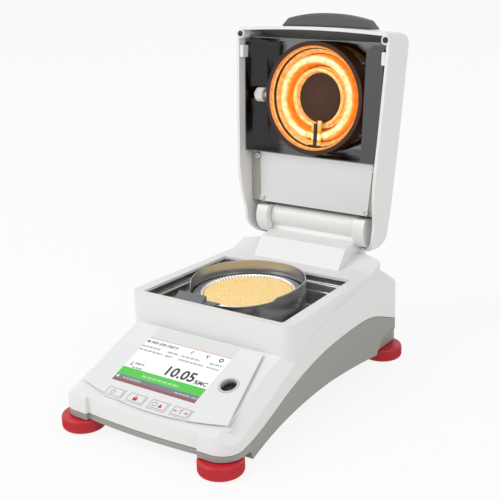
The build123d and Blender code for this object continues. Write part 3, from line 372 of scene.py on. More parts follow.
# Sample pan: thin bright aluminium foil pressed into a pan, with a curled rim and a wall of
# narrow flutes.
foil = plated_metal("bright_foil", (0.9, 0.9, 0.91), 0.24, 0.2)
pan_low, pan_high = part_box("sample_pan")
pan_centre = (pan_low + pan_high) / 2
flutes = 84
flute_steps = 6
pan_points = flutes * flute_steps
# Each ring of the pan: its radius, how far it lies below the rim and how deep its flutes are
pan_mesh = bmesh.new()
rings = []
for radius, drop, wave in (
    (0.0447, 0.0013, 0.0),
    (0.0454, 0.0006, 0.0),
    (0.0450, 0.0001, 0.0),
    (0.0441, 0.0, 0.0),
    (0.0434, 0.0004, 0.0002),
    (0.0431, 0.0012, 0.0007),
    (0.0427, 0.0058, 0.0007),
    (0.0421, 0.0068, 0.0002),
    (0.0405, 0.0073, 0.0),
    (0.001, 0.0073, 0.0),
):
    ring = []
    for i in range(pan_points):
        angle = math.tau * i / pan_points
        r = radius + wave * math.sin(math.tau * i / flute_steps)
        ring.append(
            pan_mesh.verts.new(
                (
                    pan_centre.x + r * math.cos(angle),
                    pan_centre.y + r * math.sin(angle),
                    pan_high.z - drop,
                )
            )
        )
    rings.append(ring)
skin(pan_mesh, rings)
foil_pan = new_piece("foil_pan", pan_mesh, foil, "pan", 60)
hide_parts("sample_pan")


# Sample: a level layer of pale yellow granules that fills the pan to just under its rim,
# given a faint painted glow. It rides with the pan.
sample_radius = 0.0416
sample_top = pan_high.z - 0.0022
granules = bpy.data.materials.new("pale_granules_painted_glow")
granules.use_nodes = True
nodes, links = granules.node_tree.nodes, granules.node_tree.links
shader = nodes["Principled BSDF"]
shader.inputs["Roughness"].default_value = 0.7
place = nodes.new("ShaderNodeTexCoord")
grains = nodes.new("ShaderNodeTexVoronoi")
grains.inputs["Scale"].default_value = 620
links.new(place.outputs["Object"], grains.inputs["Vector"])
tone = nodes.new("ShaderNodeValToRGB")
tone.color_ramp.elements[0].position = 0.1
tone.color_ramp.elements[0].color = (1.0, 0.9, 0.58, 1)
tone.color_ramp.elements[1].position = 0.75
tone.color_ramp.elements[1].color = (0.95, 0.64, 0.2, 1)
links.new(grains.outputs["Distance"], tone.inputs["Fac"])
kinds = nodes.new("ShaderNodeMix")
kinds.data_type = "RGBA"
kinds.blend_type = "MULTIPLY"
kinds.inputs["B"].default_value = (1.0, 0.9, 0.74, 1)
part_of = nodes.new("ShaderNodeSeparateColor")
links.new(grains.outputs["Color"], part_of.inputs["Color"])
links.new(part_of.outputs["Red"], kinds.inputs["Factor"])
links.new(tone.outputs["Color"], kinds.inputs["A"])
links.new(kinds.outputs["Result"], shader.inputs["Base Color"])
# Painted glow: the granules' own colour also lights them faintly from within.
links.new(kinds.outputs["Result"], shader.inputs["Emission Color"])
shader.inputs["Emission Strength"].default_value = 0.16
heap = nodes.new("ShaderNodeBump")
heap.inputs["Strength"].default_value = 0.7
heap.inputs["Distance"].default_value = 0.0008
heap.invert = True
links.new(grains.outputs["Distance"], heap.inputs["Height"])
links.new(heap.outputs["Normal"], shader.inputs["Normal"])
layer = bmesh.new()
bmesh.ops.create_circle(layer, cap_ends=True, radius=sample_radius, segments=96)
bmesh.ops.translate(layer, vec=(pan_centre.x, pan_centre.y, sample_top), verts=layer.verts)
rim_edges = [e for e in layer.edges if e.is_boundary]
skirt = bmesh.ops.extrude_edge_only(layer, edges=rim_edges)["geom"]
bmesh.ops.translate(
    layer, vec=(0, 0, -0.0035), verts=[v for v in skirt if isinstance(v, bmesh.types.BMVert)]
)
new_piece("sample_layer", layer, granules, "pan")


# Console window: a white overlay film in a shallow seat on the plateau, with the touch
# display behind it. The picture on the display is drawn as faintly lit figures on the film.
film = moulded_plastic("overlay_film", (0.83, 0.84, 0.84), 0.3, 0.02, 0.005)
dress("display_window", film, 0.0003)
finish("display_panel", black_plastic)
console_slope = math.radians(20)
console_origin = (0, -0.0625, 0.0703)
console_frame = Matrix.Translation(console_origin) @ Matrix.Rotation(console_slope, 4, "X")
film_top = 0.003


def lit_ink(name, colour, glow=0.25):
    """Colour shown by the display: flat, faintly lit, under a smooth film."""
    material = bpy.data.materials.new(name)
    material.use_nodes = True
    nodes, links = material.node_tree.nodes, material.node_tree.links
    shader = nodes["Principled BSDF"]
    shader.inputs["Roughness"].default_value = 0.3
    shader.inputs["Emission Strength"].default_value = glow
    place = nodes.new("ShaderNodeTexCoord")
    cells = nodes.new("ShaderNodeTexNoise")
    cells.inputs["Scale"].default_value = 1500
    links.new(place.outputs["Object"], cells.inputs["Vector"])
    tone = nodes.new("ShaderNodeMix")
    tone.data_type = "RGBA"
    tone.inputs["A"].default_value = (*[c * 0.96 for c in colour], 1)
    tone.inputs["B"].default_value = (*colour, 1)
    links.new(cells.outputs["Fac"], tone.inputs["Factor"])
    links.new(tone.outputs["Result"], shader.inputs["Base Color"])
    links.new(tone.outputs["Result"], shader.inputs["Emission Color"])
    return material


def lay_on_console(name, mesh, material, body="base"):
    """Puts a flat mesh, drawn in millimetres on the console, in its place."""
    mesh.transform(console_frame @ Matrix.Scale(0.001, 4))
    mesh.materials.clear()
    mesh.materials.append(material)
    piece = bpy.data.objects.new(name, mesh)
    bpy.context.scene.collection.objects.link(piece)
    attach(piece, body)
    return piece


def flat(name, outlines, lift, material, body="base"):
    """Flat figures in millimetres on the console, each given by its outline."""
    shape = bmesh.new()
    for outline in outlines:
        shape.faces.new([shape.verts.new((x, y, film_top * 1000 + lift)) for x, y in outline])
    bmesh.ops.recalc_face_normals(shape, faces=shape.faces)
    for face in shape.faces:
        face.normal_update()
        if face.normal.z < 0:
            face.normal_flip()
    mesh = bpy.data.meshes.new(name)
    shape.to_mesh(mesh)
    shape.free()
    return lay_on_console(name, mesh, material, body)


def bar(left, low, right, high):
    """Outline of an upright rectangle."""
    return [(left, low), (right, low), (right, high), (left, high)]


def arc(x, y, radius, width, start=0, end=360, steps=36):
    """Outlines of the short pieces that make a ring or part of one."""
    pieces = []
    for i in range(steps):
        first = math.radians(start + (end - start) * i / steps)
        last = math.radians(start + (end - start) * (i + 1) / steps)
        pieces.append(
            [
                (x + r * math.cos(a), y + r * math.sin(a))
                for r, a in (
                    (radius - width / 2, first),
                    (radius + width / 2, first),
                    (radius + width / 2, last),
                    (radius - width / 2, last),
                )
            ]
        )
    return pieces


def rounded_frame(x, y, width, depth, corner, line):
    """Outlines of a thin rectangular frame with round corners."""
    half_w, half_d = width / 2, depth / 2
    pieces = [
        bar(x - half_w + corner, y + half_d - line, x + half_w - corner, y + half_d),
        bar(x - half_w + corner, y - half_d, x + half_w - corner, y - half_d + line),
        bar(x - half_w, y - half_d + corner, x - half_w + line, y + half_d - corner),
        bar(x + half_w - line, y - half_d + corner, x + half_w, y + half_d - corner),
    ]
    for turn, sx, sy in ((0, 1, 1), (90, -1, 1), (180, -1, -1), (270, 1, -1)):
        pieces += arc(
            x + sx * (half_w - corner),
            y + sy * (half_d - corner),
            corner - line / 2,
            line,
            turn,
            turn + 90,
            6,
        )
    return pieces


def greeked(left, right, low, height, words):
    """Stand-in for a line of small print: upright strokes grouped like words."""
    pieces = []
    pitch = height * 0.36
    x = left
    count = 0
    while x < right:
        count += 1
        if count % words == 0:
            x += pitch * 1.2
            continue
        rise = height if count % 3 else height * 0.72
        drop = height * 0.2 if count % 4 == 1 else 0
        pieces.append(bar(x, low - drop, x + pitch * 0.55, low + rise))
        if count % 2:
            middle = low + height * (0.62 if count % 3 else 0.05)
            pieces.append(bar(x, middle, x + pitch * 0.9, middle + height * 0.13))
        x += pitch
    return pieces


def figures(name, text, left, low, size, lift, material, shear=0.25, body="base", weight=0.0):
    """Generic numerals or signs, in millimetres on the console."""
    curve = bpy.data.curves.new(name, "FONT")
    curve.body = text
    curve.size = size
    curve.shear = shear
    curve.offset = weight
    curve.resolution_u = 3
    holder = bpy.data.objects.new(name + "_draft", curve)
    bpy.context.scene.collection.objects.link(holder)
    bpy.context.view_layer.update()
    mesh = bpy.data.meshes.new_from_object(holder)
    bpy.data.objects.remove(holder)
    mesh.transform(Matrix.Translation((left, low, film_top * 1000 + lift)))
    return lay_on_console(name, mesh, material, body)


screen_left = -51.5
screen_right = 41.5
screen_white = lit_ink("screen_white", (0.93, 0.94, 0.94), 0.12)
screen_grey = lit_ink("screen_band_grey", (0.74, 0.75, 0.74), 0.05)
screen_black = lit_ink("screen_black", (0.015, 0.015, 0.02), 0.0)
screen_ink = lit_ink("screen_ink_grey", (0.1, 0.1, 0.12), 0.0)
screen_green = lit_ink("screen_green", (0.07, 0.5, 0.06), 0.25)
screen_red = lit_ink("screen_red", (0.75, 0.25, 0.2), 0.1)
bar_grey = lit_ink("screen_bar_grey", (0.2, 0.21, 0.26), 0.05)
bar_brown = lit_ink("screen_bar_brown", (0.3, 0.1, 0.09), 0.05)
pale_ink = lit_ink("screen_pale_ink", (0.7, 0.8, 0.68), 0.1)
flat("screen_header", [bar(screen_left, -18.3, screen_right, -5)], 0.04, screen_grey)
flat("screen_field", [bar(screen_left, -58.5, screen_right, -18.8)], 0.04, screen_white)
flat("screen_rule", [bar(screen_left, -19.0, screen_right, -18.3)], 0.05, screen_red)
flat("screen_bar_green", [bar(screen_left, -68, screen_right, -58.5)], 0.05, screen_green)
flat("screen_bar_grey", [bar(screen_left, -73, screen_right, -68)], 0.05, bar_grey)
flat("screen_bar_brown", [bar(screen_left, -76.2, screen_right, -73)], 0.05, bar_brown)
flat("screen_title", greeked(-45.5, -15.5, -24.6, 3.2, 8), 0.07, screen_black)
flat(
    "screen_folder",
    [bar(-50.5, -24.4, -47.2, -22.2), bar(-50.5, -22.2, -49.0, -21.5)],
    0.07,
    screen_ink,
)
flat(
    "screen_tools",
    arc(1.0, -22.6, 1.2, 0.6, -150, 120, 12)
    + [bar(0.8, -25.4, 1.4, -23.6)]
    + arc(18.6, -22.4, 1.3, 0.8, 120, 420, 14)
    + [bar(18.3, -25.8, 19.1, -23.6)]
    + arc(33.6, -23.6, 1.7, 1.0)
    + [
        bar(33.2, -21.5, 34.0, -20.9),
        bar(33.2, -26.3, 34.0, -25.7),
        bar(31.0, -24.0, 31.6, -23.2),
        bar(35.6, -24.0, 36.2, -23.2),
    ],
    0.07,
    screen_black,
)
flat(
    "screen_columns",
    greeked(-51.3, -30.8, -30.6, 1.9, 6)
    + greeked(-51.3, -24.8, -35.4, 1.9, 7)
    + greeked(-21.5, -10.8, -30.8, 1.9, 9)
    + greeked(-21.5, -13.4, -35.7, 1.9, 9)
    + greeked(-6.0, 13.8, -31.0, 1.9, 7)
    + greeked(-6.0, 21.0, -35.8, 1.9, 6)
    + greeked(25.4, 38.6, -31.0, 1.9, 8)
    + greeked(25.4, 38.6, -35.9, 1.9, 5),
    0.07,
    screen_ink,
)
flat(
    "screen_thermometer",
    arc(-45.6, -54.6, 0.5, 1.0)
    + [bar(-46.0, -54.4, -45.2, -50.6)]
    + greeked(-42.2, -32.6, -53.0, 2.3, 9)
    + greeked(-42.2, -30.4, -58.0, 2.0, 5),
    0.07,
    screen_black,
)
flat("screen_message", greeked(-25.0, 16.5, -65.0, 2.2, 7), 0.07, pale_ink)
flat(
    "screen_back_tab",
    [[(-50.6, -70.6), (-47.2, -72.3), (-47.2, -68.9)], bar(-51.5, -76.2, -51.2, -68)],
    0.07,
    screen_white,
)
flat(
    "screen_foot",
    greeked(-42.0, -22.0, -71.6, 1.7, 6)
    + greeked(16.6, 32.8, -71.8, 1.6, 7)
    + greeked(35.0, 41.0, -71.8, 1.6, 9),
    0.07,
    pale_ink,
)
figures("reading", "10.05", -9.8, -55.6, 15.4, 0.12, screen_black, 0.0, weight=0.35)
figures("reading_unit", "%MC", 25.2, -56.4, 6.6, 0.12, screen_ink, 0.0, weight=0.16)


# Keys: four white moulded pads that stand a little out of the film, each printed with a
# thin red-brown frame and an icon.
key_white = moulded_plastic("key_plastic", (0.84, 0.84, 0.84), 0.4, 0.03, 0.005)
frame_ink = lit_ink("key_frame_ink", (0.42, 0.16, 0.15), 0.0)
faint_red = lit_ink("key_icon_faint_red", (0.72, 0.3, 0.28), 0.0)
strong_red = lit_ink("key_icon_red", (0.55, 0.02, 0.03), 0.0)
icon_grey = lit_ink("key_icon_grey", (0.3, 0.3, 0.31), 0.0)
key_lift = 0.75
key_pitch = 24.5
key_row = -89.2
for number in range(1, 5):
    dress(f"key_{number}", key_white, 0.0002)
    key_x = (number - 2.5) * key_pitch
    flat(
        f"key_frame_{number}",
        rounded_frame(key_x, key_row, 17.6, 9.0, 1.6, 0.4),
        key_lift,
        frame_ink,
        f"key_{number}",
    )
flat(
    "key_icon_power",
    arc(-38.6, -89.6, 2.3, 0.55, 120, 420) + [bar(-38.9, -89.4, -38.3, -86.2)],
    key_lift,
    faint_red,
    "key_1",
)
flat(
    "key_icon_lock",
    [bar(-15.0, -92.0, -10.6, -88.8)] + arc(-12.8, -88.8, 1.5, 0.6, 0, 180, 12),
    key_lift,
    strong_red,
    "key_2",
)
flat("key_icon_dial", arc(8.4, -89.4, 2.2, 0.6), key_lift, icon_grey, "key_3")
flat(
    "key_icon_dial_mark",
    [[(13.2, -91.6), (16.6, -91.6), (15.8, -88.2), (14.0, -88.2)]],
    key_lift,
    strong_red,
    "key_3",
)
flat(
    "key_icon_tare",
    [
        [(28.6, -89.4), (31.4, -88.1), (31.4, -90.7)],
        bar(31.4, -89.7, 33.4, -89.1),
        [(44.6, -89.4), (41.8, -90.7), (41.8, -88.1)],
        bar(39.8, -89.7, 41.8, -89.1),
        bar(34.8, -87.5, 38.4, -86.8),
        bar(36.2, -91.6, 37.0, -87.5),
    ],
    key_lift,
    icon_grey,
    "key_4",
)


# Bubble level: a pale ring in the film over a short well, whose wall is painted darker
# towards its bottom as painted shade, with the vial at its bottom painted near black as
# painted shade.
level_x = 57.4
level_down = -47.6
well_radius = 7.45
well_low = -2.6
vial_radius = 7.3
pale_ring = moulded_plastic("level_ring_plastic", (0.7, 0.7, 0.69), 0.3, 0.05)
finish("level_bezel", pale_ring)
well_wall = bpy.data.materials.new("level_well_wall_painted_shade")
well_wall.use_nodes = True
nodes, links = well_wall.node_tree.nodes, well_wall.node_tree.links
shader = nodes["Principled BSDF"]
shader.inputs["Roughness"].default_value = 0.35
place = nodes.new("ShaderNodeTexCoord")
turned = nodes.new("ShaderNodeMapping")
turned.vector_type = "TEXTURE"
turned.inputs["Location"].default_value = console_origin
turned.inputs["Rotation"].default_value = (console_slope, 0, 0)
links.new(place.outputs["Object"], turned.inputs["Vector"])
axes = nodes.new("ShaderNodeSeparateXYZ")
links.new(turned.outputs["Vector"], axes.inputs["Vector"])
depth = nodes.new("ShaderNodeMapRange")
depth.inputs["From Min"].default_value = well_low / 1000
depth.inputs["From Max"].default_value = film_top
links.new(axes.outputs["Z"], depth.inputs["Value"])
# Painted shade: the well's wall runs from near black at its bottom to pale at the film.
fade = nodes.new("ShaderNodeValToRGB")
fade.color_ramp.elements[0].color = (0.1, 0.1, 0.105, 1)
fade.color_ramp.elements[1].color = (0.8, 0.8, 0.8, 1)
links.new(depth.outputs["Result"], fade.inputs["Fac"])
links.new(fade.outputs["Color"], shader.inputs["Base Color"])
well = bmesh.new()
bmesh.ops.create_cone(
    well,
    segments=64,
    radius1=well_radius / 1000,
    radius2=well_radius / 1000,
    depth=film_top - well_low / 1000,
)
bmesh.ops.translate(
    well,
    vec=(level_x / 1000, level_down / 1000, (film_top + well_low / 1000) / 2),
    verts=well.verts,
)
bmesh.ops.transform(well, matrix=console_frame, verts=well.verts)
new_piece("level_well", well, well_wall, "base")
# The vial's near black is painted shade at the bottom of the well.
vial = moulded_plastic("vial_painted_shade", (0.012, 0.014, 0.012), 0.08, 0.0)
vial_disc = bmesh.new()
bmesh.ops.create_cone(
    vial_disc,
    cap_ends=True,
    segments=64,
    radius1=vial_radius / 1000,
    radius2=vial_radius / 1000,
    depth=0.0012,
)
bmesh.ops.translate(
    vial_disc,
    vec=(level_x / 1000, level_down / 1000, well_low / 1000),
    verts=vial_disc.verts,
)
bmesh.ops.transform(vial_disc, matrix=console_frame, verts=vial_disc.verts)
vial_piece = new_piece("level_vial_disc", vial_disc, vial, "base")
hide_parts("level_vial")


# Hinge: a ground steel pin through the barrel and both ears, which are white mouldings
# fixed inside the lid.
ground_steel = plated_metal("ground_steel", (0.65, 0.65, 0.66), 0.2)
finish("hinge_pin", ground_steel)
dress("lid_ears", white_plastic, 0.0008)


# Lid shell: white moulded hood with rounded edges, its rim drawn back round the hinge. Its
# back has the vents, so that face keeps its triangles.
dress("lid_shell", white_plastic, 0.0009, 3, join_flats=False)
dress("lid_posts", warm_grey)


# Liner: dark mirror-finished sheet that lines the lid round the heater, with a slanted side
# wall whose dark grey is painted shade.
lid_turn = math.radians(83.6)
hinge_place = (0, 0.1293, 0.1321)
lid_frame = Matrix.Translation(hinge_place) @ Matrix.Rotation(lid_turn, 4, "X")
mirror_sheet = polished_steel("mirror_sheet", (0.2, 0.2, 0.205), 0.12, 0.9)
dress("lid_liner", mirror_sheet, 0.0002)
# The side wall's dark grey is painted shade.
dark_sheet = plated_metal("dark_sheet", (0.1, 0.1, 0.105), 0.5, 0.1)
dress("side_flap", dark_sheet, 0.0002)


# Insulator knob: a white ribbed ceramic on a short shank through the liner's left wall.
ceramic = moulded_plastic("white_ceramic", (0.8, 0.79, 0.76), 0.3, 0.05)
knob_ribs = 22
knob_points = knob_ribs * 4
knob_s = 123.6
knob_n = 12
# Each ring of the knob: its place along its axis, its radius and the height of its ribs
knob = bmesh.new()
rings = []
for along, radius, rib in (
    (-74.5, 3.0, 0.0),
    (-72.4, 3.0, 0.0),
    (-72.2, 5.6, 0.0),
    (-71.4, 6.6, 0.5),
    (-63.0, 6.6, 0.5),
    (-62.2, 5.6, 0.0),
    (-62.0, 3.0, 0.0),
    (-55.8, 3.0, 0.0),
    (-55.6, 2.4, 0.0),
):
    ring = []
    for i in range(knob_points):
        angle = math.tau * i / knob_points
        r = radius + rib * math.cos(math.tau * i / 4)
        s_place = (knob_s + r * math.cos(angle)) / 1000
        n_place = (knob_n + r * math.sin(angle)) / 1000
        ring.append(knob.verts.new((along / 1000, s_place, n_place)))
    rings.append(ring)
skin(knob, rings)
knob.faces.new(rings[0])
knob.faces.new(rings[-1])
bmesh.ops.transform(knob, matrix=lid_frame, verts=knob.verts)
new_piece("insulator_knob", knob, ceramic, "lid", 40)


# Sheet panel under the heater, of satin steel, held by four screws on a frame: a sheet that
# stands where the lid's white inside lies in shade, its warm grey painted shade.
satin_steel = plated_metal("satin_steel", (0.7, 0.7, 0.7), 0.42, 0.12, (1, 1, 12), 200)
dress("lid_panel", satin_steel, 0.0002)
dress("panel_screws", zinc, 0.0002)
# The frame's warm grey is painted shade of the lid's white inner wall.
frame_painted_shade = moulded_plastic("panel_frame_painted_shade", (0.42, 0.4, 0.36), 0.45, 0.05)
dress("panel_frame", frame_painted_shade, 0.0002)


# Heater dish: a spun reflector with a dark flat rim and a stepped wall in gold and brown
# bands, mottled by heat. Its bright bands are painted reflections of the heater tube and the
# dish has a painted glow. Its colour follows the distance from the dish's axis.
lamp_s = 0.1246
ramp_reach = 60


def banded(name, stops, mottle, glow):
    """Heat-tinted metal in rings, lit from within at the given glow; each stop is a radius in
    millimetres and a colour. On the dish and the disc, which are no lamps, the glow is painted
    light, and the dish's bright rings are painted reflections.
    """
    material = bpy.data.materials.new(name)
    material.use_nodes = True
    nodes, links = material.node_tree.nodes, material.node_tree.links
    shader = nodes["Principled BSDF"]
    shader.inputs["Metallic"].default_value = 0.35
    shader.inputs["Roughness"].default_value = 0.3
    shader.inputs["Emission Strength"].default_value = glow
    place = nodes.new("ShaderNodeTexCoord")
    turned = nodes.new("ShaderNodeMapping")
    turned.vector_type = "TEXTURE"
    turned.inputs["Location"].default_value = lid_frame @ Vector((0, lamp_s, 0))
    turned.inputs["Rotation"].default_value = (lid_turn, 0, 0)
    links.new(place.outputs["Object"], turned.inputs["Vector"])
    axes = nodes.new("ShaderNodeSeparateXYZ")
    links.new(turned.outputs["Vector"], axes.inputs["Vector"])
    face_on = nodes.new("ShaderNodeCombineXYZ")
    links.new(axes.outputs["X"], face_on.inputs["X"])
    links.new(axes.outputs["Y"], face_on.inputs["Y"])
    distance = nodes.new("ShaderNodeVectorMath")
    distance.operation = "LENGTH"
    links.new(face_on.outputs["Vector"], distance.inputs[0])
    radius = nodes.new("ShaderNodeMapRange")
    radius.inputs["From Max"].default_value = ramp_reach / 1000
    links.new(distance.outputs["Value"], radius.inputs["Value"])
    rings = nodes.new("ShaderNodeValToRGB")
    ramp = rings.color_ramp
    ramp.elements[0].position = stops[0][0] / ramp_reach
    ramp.elements[0].color = (*stops[0][1], 1)
    ramp.elements[1].position = stops[-1][0] / ramp_reach
    ramp.elements[1].color = (*stops[-1][1], 1)
    for r, colour in stops[1:-1]:
        ramp.elements.new(r / ramp_reach).color = (*colour, 1)
    links.new(radius.outputs["Result"], rings.inputs["Fac"])
    cloud = nodes.new("ShaderNodeTexNoise")
    cloud.inputs["Scale"].default_value = 230
    cloud.inputs["Detail"].default_value = 2
    links.new(place.outputs["Object"], cloud.inputs["Vector"])
    spread = nodes.new("ShaderNodeMapRange")
    spread.inputs["From Min"].default_value = 0.35
    spread.inputs["From Max"].default_value = 0.65
    spread.inputs["To Max"].default_value = mottle
    links.new(cloud.outputs["Fac"], spread.inputs["Value"])
    heat = nodes.new("ShaderNodeMix")
    heat.data_type = "RGBA"
    heat.blend_type = "MULTIPLY"
    heat.inputs["B"].default_value = (0.95, 0.55, 0.18, 1)
    links.new(spread.outputs["Result"], heat.inputs["Factor"])
    links.new(rings.outputs["Color"], heat.inputs["A"])
    links.new(heat.outputs["Result"], shader.inputs["Base Color"])
    links.new(heat.outputs["Result"], shader.inputs["Emission Color"])
    return material


cream = (1.0, 0.78, 0.36)
amber = (0.8, 0.34, 0.04)
deep_brown = (0.22, 0.05, 0.008)
dusk = (0.04, 0.015, 0.006)
# The cream and amber rings are painted reflections of the tube, and the glow is painted glow.
gold = banded(
    "gold_reflector",
    (
        (22.6, dusk),
        (23.2, (0.7, 0.3, 0.14)),
        (23.8, (0.7, 0.3, 0.14)),
        (24.6, deep_brown),
        (26.0, cream),
        (30.0, cream),
        (31.2, deep_brown),
        (33.0, amber),
        (42.5, amber),
        (43.6, deep_brown),
        (44.4, cream),
        (47.4, cream),
        (48.2, dusk),
        (48.9, dusk),
        (49.3, cream),
        (50.2, amber),
        (50.9, (0.75, 0.36, 0.22)),
        (51.4, dusk),
        (55.6, dusk),
    ),
    0.8,
    0.3,
)
dish = bmesh.new()
profile = (
    (21.5, 2.6),
    (21.5, 3.9),
    (32.0, 4.0),
    (32.8, 4.6),
    (43.2, 4.8),
    (44.2, 7.5),
    (47.6, 13.5),
    (48.3, 13.6),
    (49.0, 16.2),
    (51.0, 20.9),
    (51.5, 21.4),
    (55.2, 21.4),
    (55.6, 21.0),
    (55.6, 2.6),
)
outline = [dish.verts.new((r / 1000, lamp_s, n / 1000)) for r, n in profile]
for first, last in zip(outline, outline[1:] + outline[:1]):
    dish.edges.new((first, last))
bmesh.ops.spin(
    dish,
    geom=dish.verts[:] + dish.edges[:],
    cent=(0, lamp_s, 0),
    axis=(0, 0, 1),
    angle=math.tau,
    steps=120,
    use_merge=True,
)
bmesh.ops.transform(dish, matrix=lid_frame, verts=dish.verts)
dish_piece = new_piece("heater_dish", dish, gold, "lid", 35)
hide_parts("lamp_reflector")


# Heater disc: a dark bronze cap over the hole in the middle of the dish, nearly black at
# its edge, with a faint painted glow.
bronze = banded(
    "bronze_disc", ((0, (0.07, 0.025, 0.008)), (20, (0.05, 0.016, 0.006)), (24, dusk)), 0.3, 0.03
)
dress("lamp_cap", bronze, 0.0004)


# Heater tube: a glowing quartz ring and a narrower inner ring that ends in two legs, held
# in a small dark block at the bottom of the dish.
glow = banded(
    "glowing_tube",
    (
        (22, cream),
        (34.0, amber),
        (36.0, (1.0, 0.86, 0.5)),
        (40.5, (1.0, 0.86, 0.5)),
        (42.4, amber),
        (48, cream),
    ),
    0.75,
    0.42,
)
dress("lamp_tube", glow)


tube_sides = 14


def bent_tube(name, path, radius, height, material):
    """Round tube along a flat path on the lid, in millimetres from the heater's axis."""
    shape = bmesh.new()
    sections = []
    for i, (x, s) in enumerate(path):
        before, after = path[max(0, i - 1)], path[min(len(path) - 1, i + 1)]
        run = Vector((after[0] - before[0], after[1] - before[1], 0)).normalized()
        side = Vector((run.y, -run.x, 0))
        section = []
        for k in range(tube_sides):
            angle = math.tau * k / tube_sides
            offset = side * (radius * math.cos(angle)) + Vector((0, 0, radius * math.sin(angle)))
            s_place = lamp_s + (s + offset.y) / 1000
            n_place = (height + offset.z) / 1000
            section.append(shape.verts.new(((x + offset.x) / 1000, s_place, n_place)))
        sections.append(section)
    skin(shape, sections)
    shape.faces.new(sections[0])
    shape.faces.new(sections[-1])
    bmesh.ops.transform(shape, matrix=lid_frame, verts=shape.verts)
    return new_piece(name, shape, material, "lid", 50)


inner_radius = 27.6
inner_ring = [
    (inner_radius * math.cos(math.radians(a)), inner_radius * math.sin(math.radians(a)))
    for a in range(-99, -429, -5)
]
bent_tube("heater_inner_ring", [(-4.2, -47)] + inner_ring, 2.3, 9.5, glow)
bent_tube("heater_right_leg", [(4.2, -47), (4.2, -22)], 2.1, 12.5, glow)
socket_dark = moulded_plastic("heater_socket_dark", (0.03, 0.018, 0.014), 0.5, 0.1)
for name, left, low, right, high, depth_low, depth_high in (
    ("heater_socket", -7, -50.5, 7, -46.5, 5, 15),
    ("heater_gap_strip", -1.5, -48, 1.5, -22, 5, 9),
):
    block = bmesh.new()
    bmesh.ops.create_cube(block, size=1)
    bmesh.ops.scale(
        block,
        vec=((right - left) / 1000, (high - low) / 1000, (depth_high - depth_low) / 1000),
        verts=block.verts,
    )
    bmesh.ops.translate(
        block,
        vec=(
            (left + right) / 2000,
            lamp_s + (low + high) / 2000,
            (depth_low + depth_high) / 2000,
        ),
        verts=block.verts,
    )
    bmesh.ops.transform(block, matrix=lid_frame, verts=block.verts)
    new_piece(name, block, socket_dark, "lid")
dress("lamp_posts", zinc)
dress("temperature_sensor", black_plastic)


# Handle, bumpers and clips on the lid's edge: a dark grip moulding, two rubber stops in
# the front corners and two white clips.
dress("lid_handle", grip_plastic, 0.002, 4)
finish("lid_bumpers", black_rubber)
dress("lid_clips", key_white, 0.0003)


# Studio: a pale floor, soft light and a camera at the photograph's angle.
floor_shape = bmesh.new()
bmesh.ops.create_grid(floor_shape, x_segments=1, y_segments=1, size=6)
mesh = bpy.data.meshes.new("pale_floor")
floor_shape.to_mesh(mesh)
floor_shape.free()
floor_paint = bpy.data.materials.new("pale_floor_paint")
floor_paint.use_nodes = True
nodes, links = floor_paint.node_tree.nodes, floor_paint.node_tree.links
shader = nodes["Principled BSDF"]
shader.inputs["Base Color"].default_value = (0.9, 0.9, 0.9, 1)
shader.inputs["Roughness"].default_value = 0.9
paths = nodes.new("ShaderNodeLightPath")
seen = nodes.new("ShaderNodeMath")
seen.operation = "ADD"
seen.use_clamp = True
links.new(paths.outputs["Is Camera Ray"], seen.inputs[0])
links.new(paths.outputs["Is Glossy Ray"], seen.inputs[1])
share = nodes.new("ShaderNodeMath")
share.operation = "MULTIPLY"
share.inputs[1].default_value = 0.88
links.new(seen.outputs["Value"], share.inputs[0])
bright = nodes.new("ShaderNodeEmission")
bright.inputs["Color"].default_value = (1, 1, 1, 1)
bright.inputs["Strength"].default_value = 1.0
blend = nodes.new("ShaderNodeMixShader")
links.new(share.outputs["Value"], blend.inputs[0])
links.new(shader.outputs["BSDF"], blend.inputs[1])
links.new(bright.outputs["Emission"], blend.inputs[2])
links.new(blend.outputs["Shader"], nodes["Material Output"].inputs["Surface"])
mesh.materials.append(floor_paint)
floor = bpy.data.objects.new("pale_floor", mesh)
bpy.context.scene.collection.objects.link(floor)

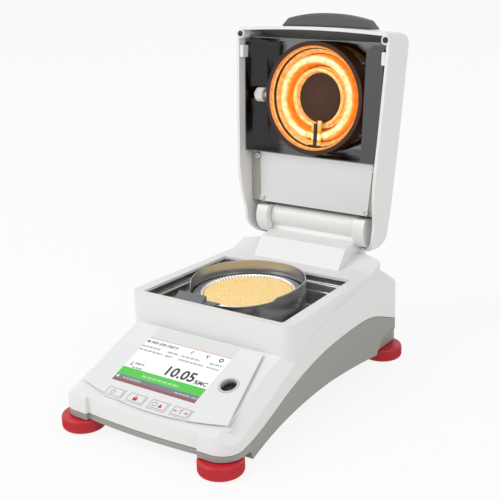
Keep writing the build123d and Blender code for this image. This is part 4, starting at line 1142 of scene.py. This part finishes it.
world = bpy.data.worlds.new("studio")
world.use_nodes = True
bpy.context.scene.world = world
nodes, links = world.node_tree.nodes, world.node_tree.links
paths = nodes.new("ShaderNodeLightPath")
seen = nodes.new("ShaderNodeMath")
seen.operation = "ADD"
seen.use_clamp = True
links.new(paths.outputs["Is Camera Ray"], seen.inputs[0])
mirrored = nodes.new("ShaderNodeMath")
mirrored.operation = "ADD"
links.new(paths.outputs["Is Glossy Ray"], mirrored.inputs[0])
links.new(paths.outputs["Is Transmission Ray"], mirrored.inputs[1])
links.new(mirrored.outputs["Value"], seen.inputs[1])
strength = nodes.new("ShaderNodeMapRange")
strength.inputs["To Min"].default_value = 0.62
strength.inputs["To Max"].default_value = 1.0
links.new(seen.outputs["Value"], strength.inputs["Value"])
nodes["Background"].inputs["Color"].default_value = (1, 1, 1, 1)
links.new(strength.outputs["Result"], nodes["Background"].inputs["Strength"])

for name, place, aim, size, power in (
    ("key_light", (-1.2, -1.6, 1.9), (0, 0, 0.12), 1.4, 26),
    ("fill_light", (1.8, -0.8, 1.2), (0, 0, 0.15), 1.2, 7),
):
    lamp = bpy.data.lights.new(name, "AREA")
    lamp.size = size
    lamp.energy = power
    lamp_object = bpy.data.objects.new(name, lamp)
    bpy.context.scene.collection.objects.link(lamp_object)
    lamp_object.location = place
    lamp_object.rotation_euler = (Vector(aim) - Vector(place)).to_track_quat("-Z", "Y").to_euler()

view_turn = math.radians(35.847)
view_rise = math.radians(17.962)
view_roll = math.radians(-1.9286)
back = Vector(
    (
        math.sin(view_turn) * math.cos(view_rise),
        -math.cos(view_turn) * math.cos(view_rise),
        math.sin(view_rise),
    )
)
right = Vector((0, 0, 1)).cross(back).normalized()
up = back.cross(right)
rolled_right = right * math.cos(view_roll) + up * math.sin(view_roll)
rolled_up = up * math.cos(view_roll) - right * math.sin(view_roll)
eye = Vector((0.5417, -0.7412, 0.4338))
camera_data = bpy.data.cameras.new("view")
camera_data.lens = 74.85
camera_data.sensor_width = 36
camera_data.clip_end = 30
camera = bpy.data.objects.new("view", camera_data)
bpy.context.scene.collection.objects.link(camera)
camera.matrix_world = Matrix(
    (
        (rolled_right.x, rolled_up.x, back.x, eye.x),
        (rolled_right.y, rolled_up.y, back.y, eye.y),
        (rolled_right.z, rolled_up.z, back.z, eye.z),
        (0, 0, 0, 1),
    )
)
bpy.context.scene.camera = camera
bpy.context.scene.view_settings.view_transform = "Standard"
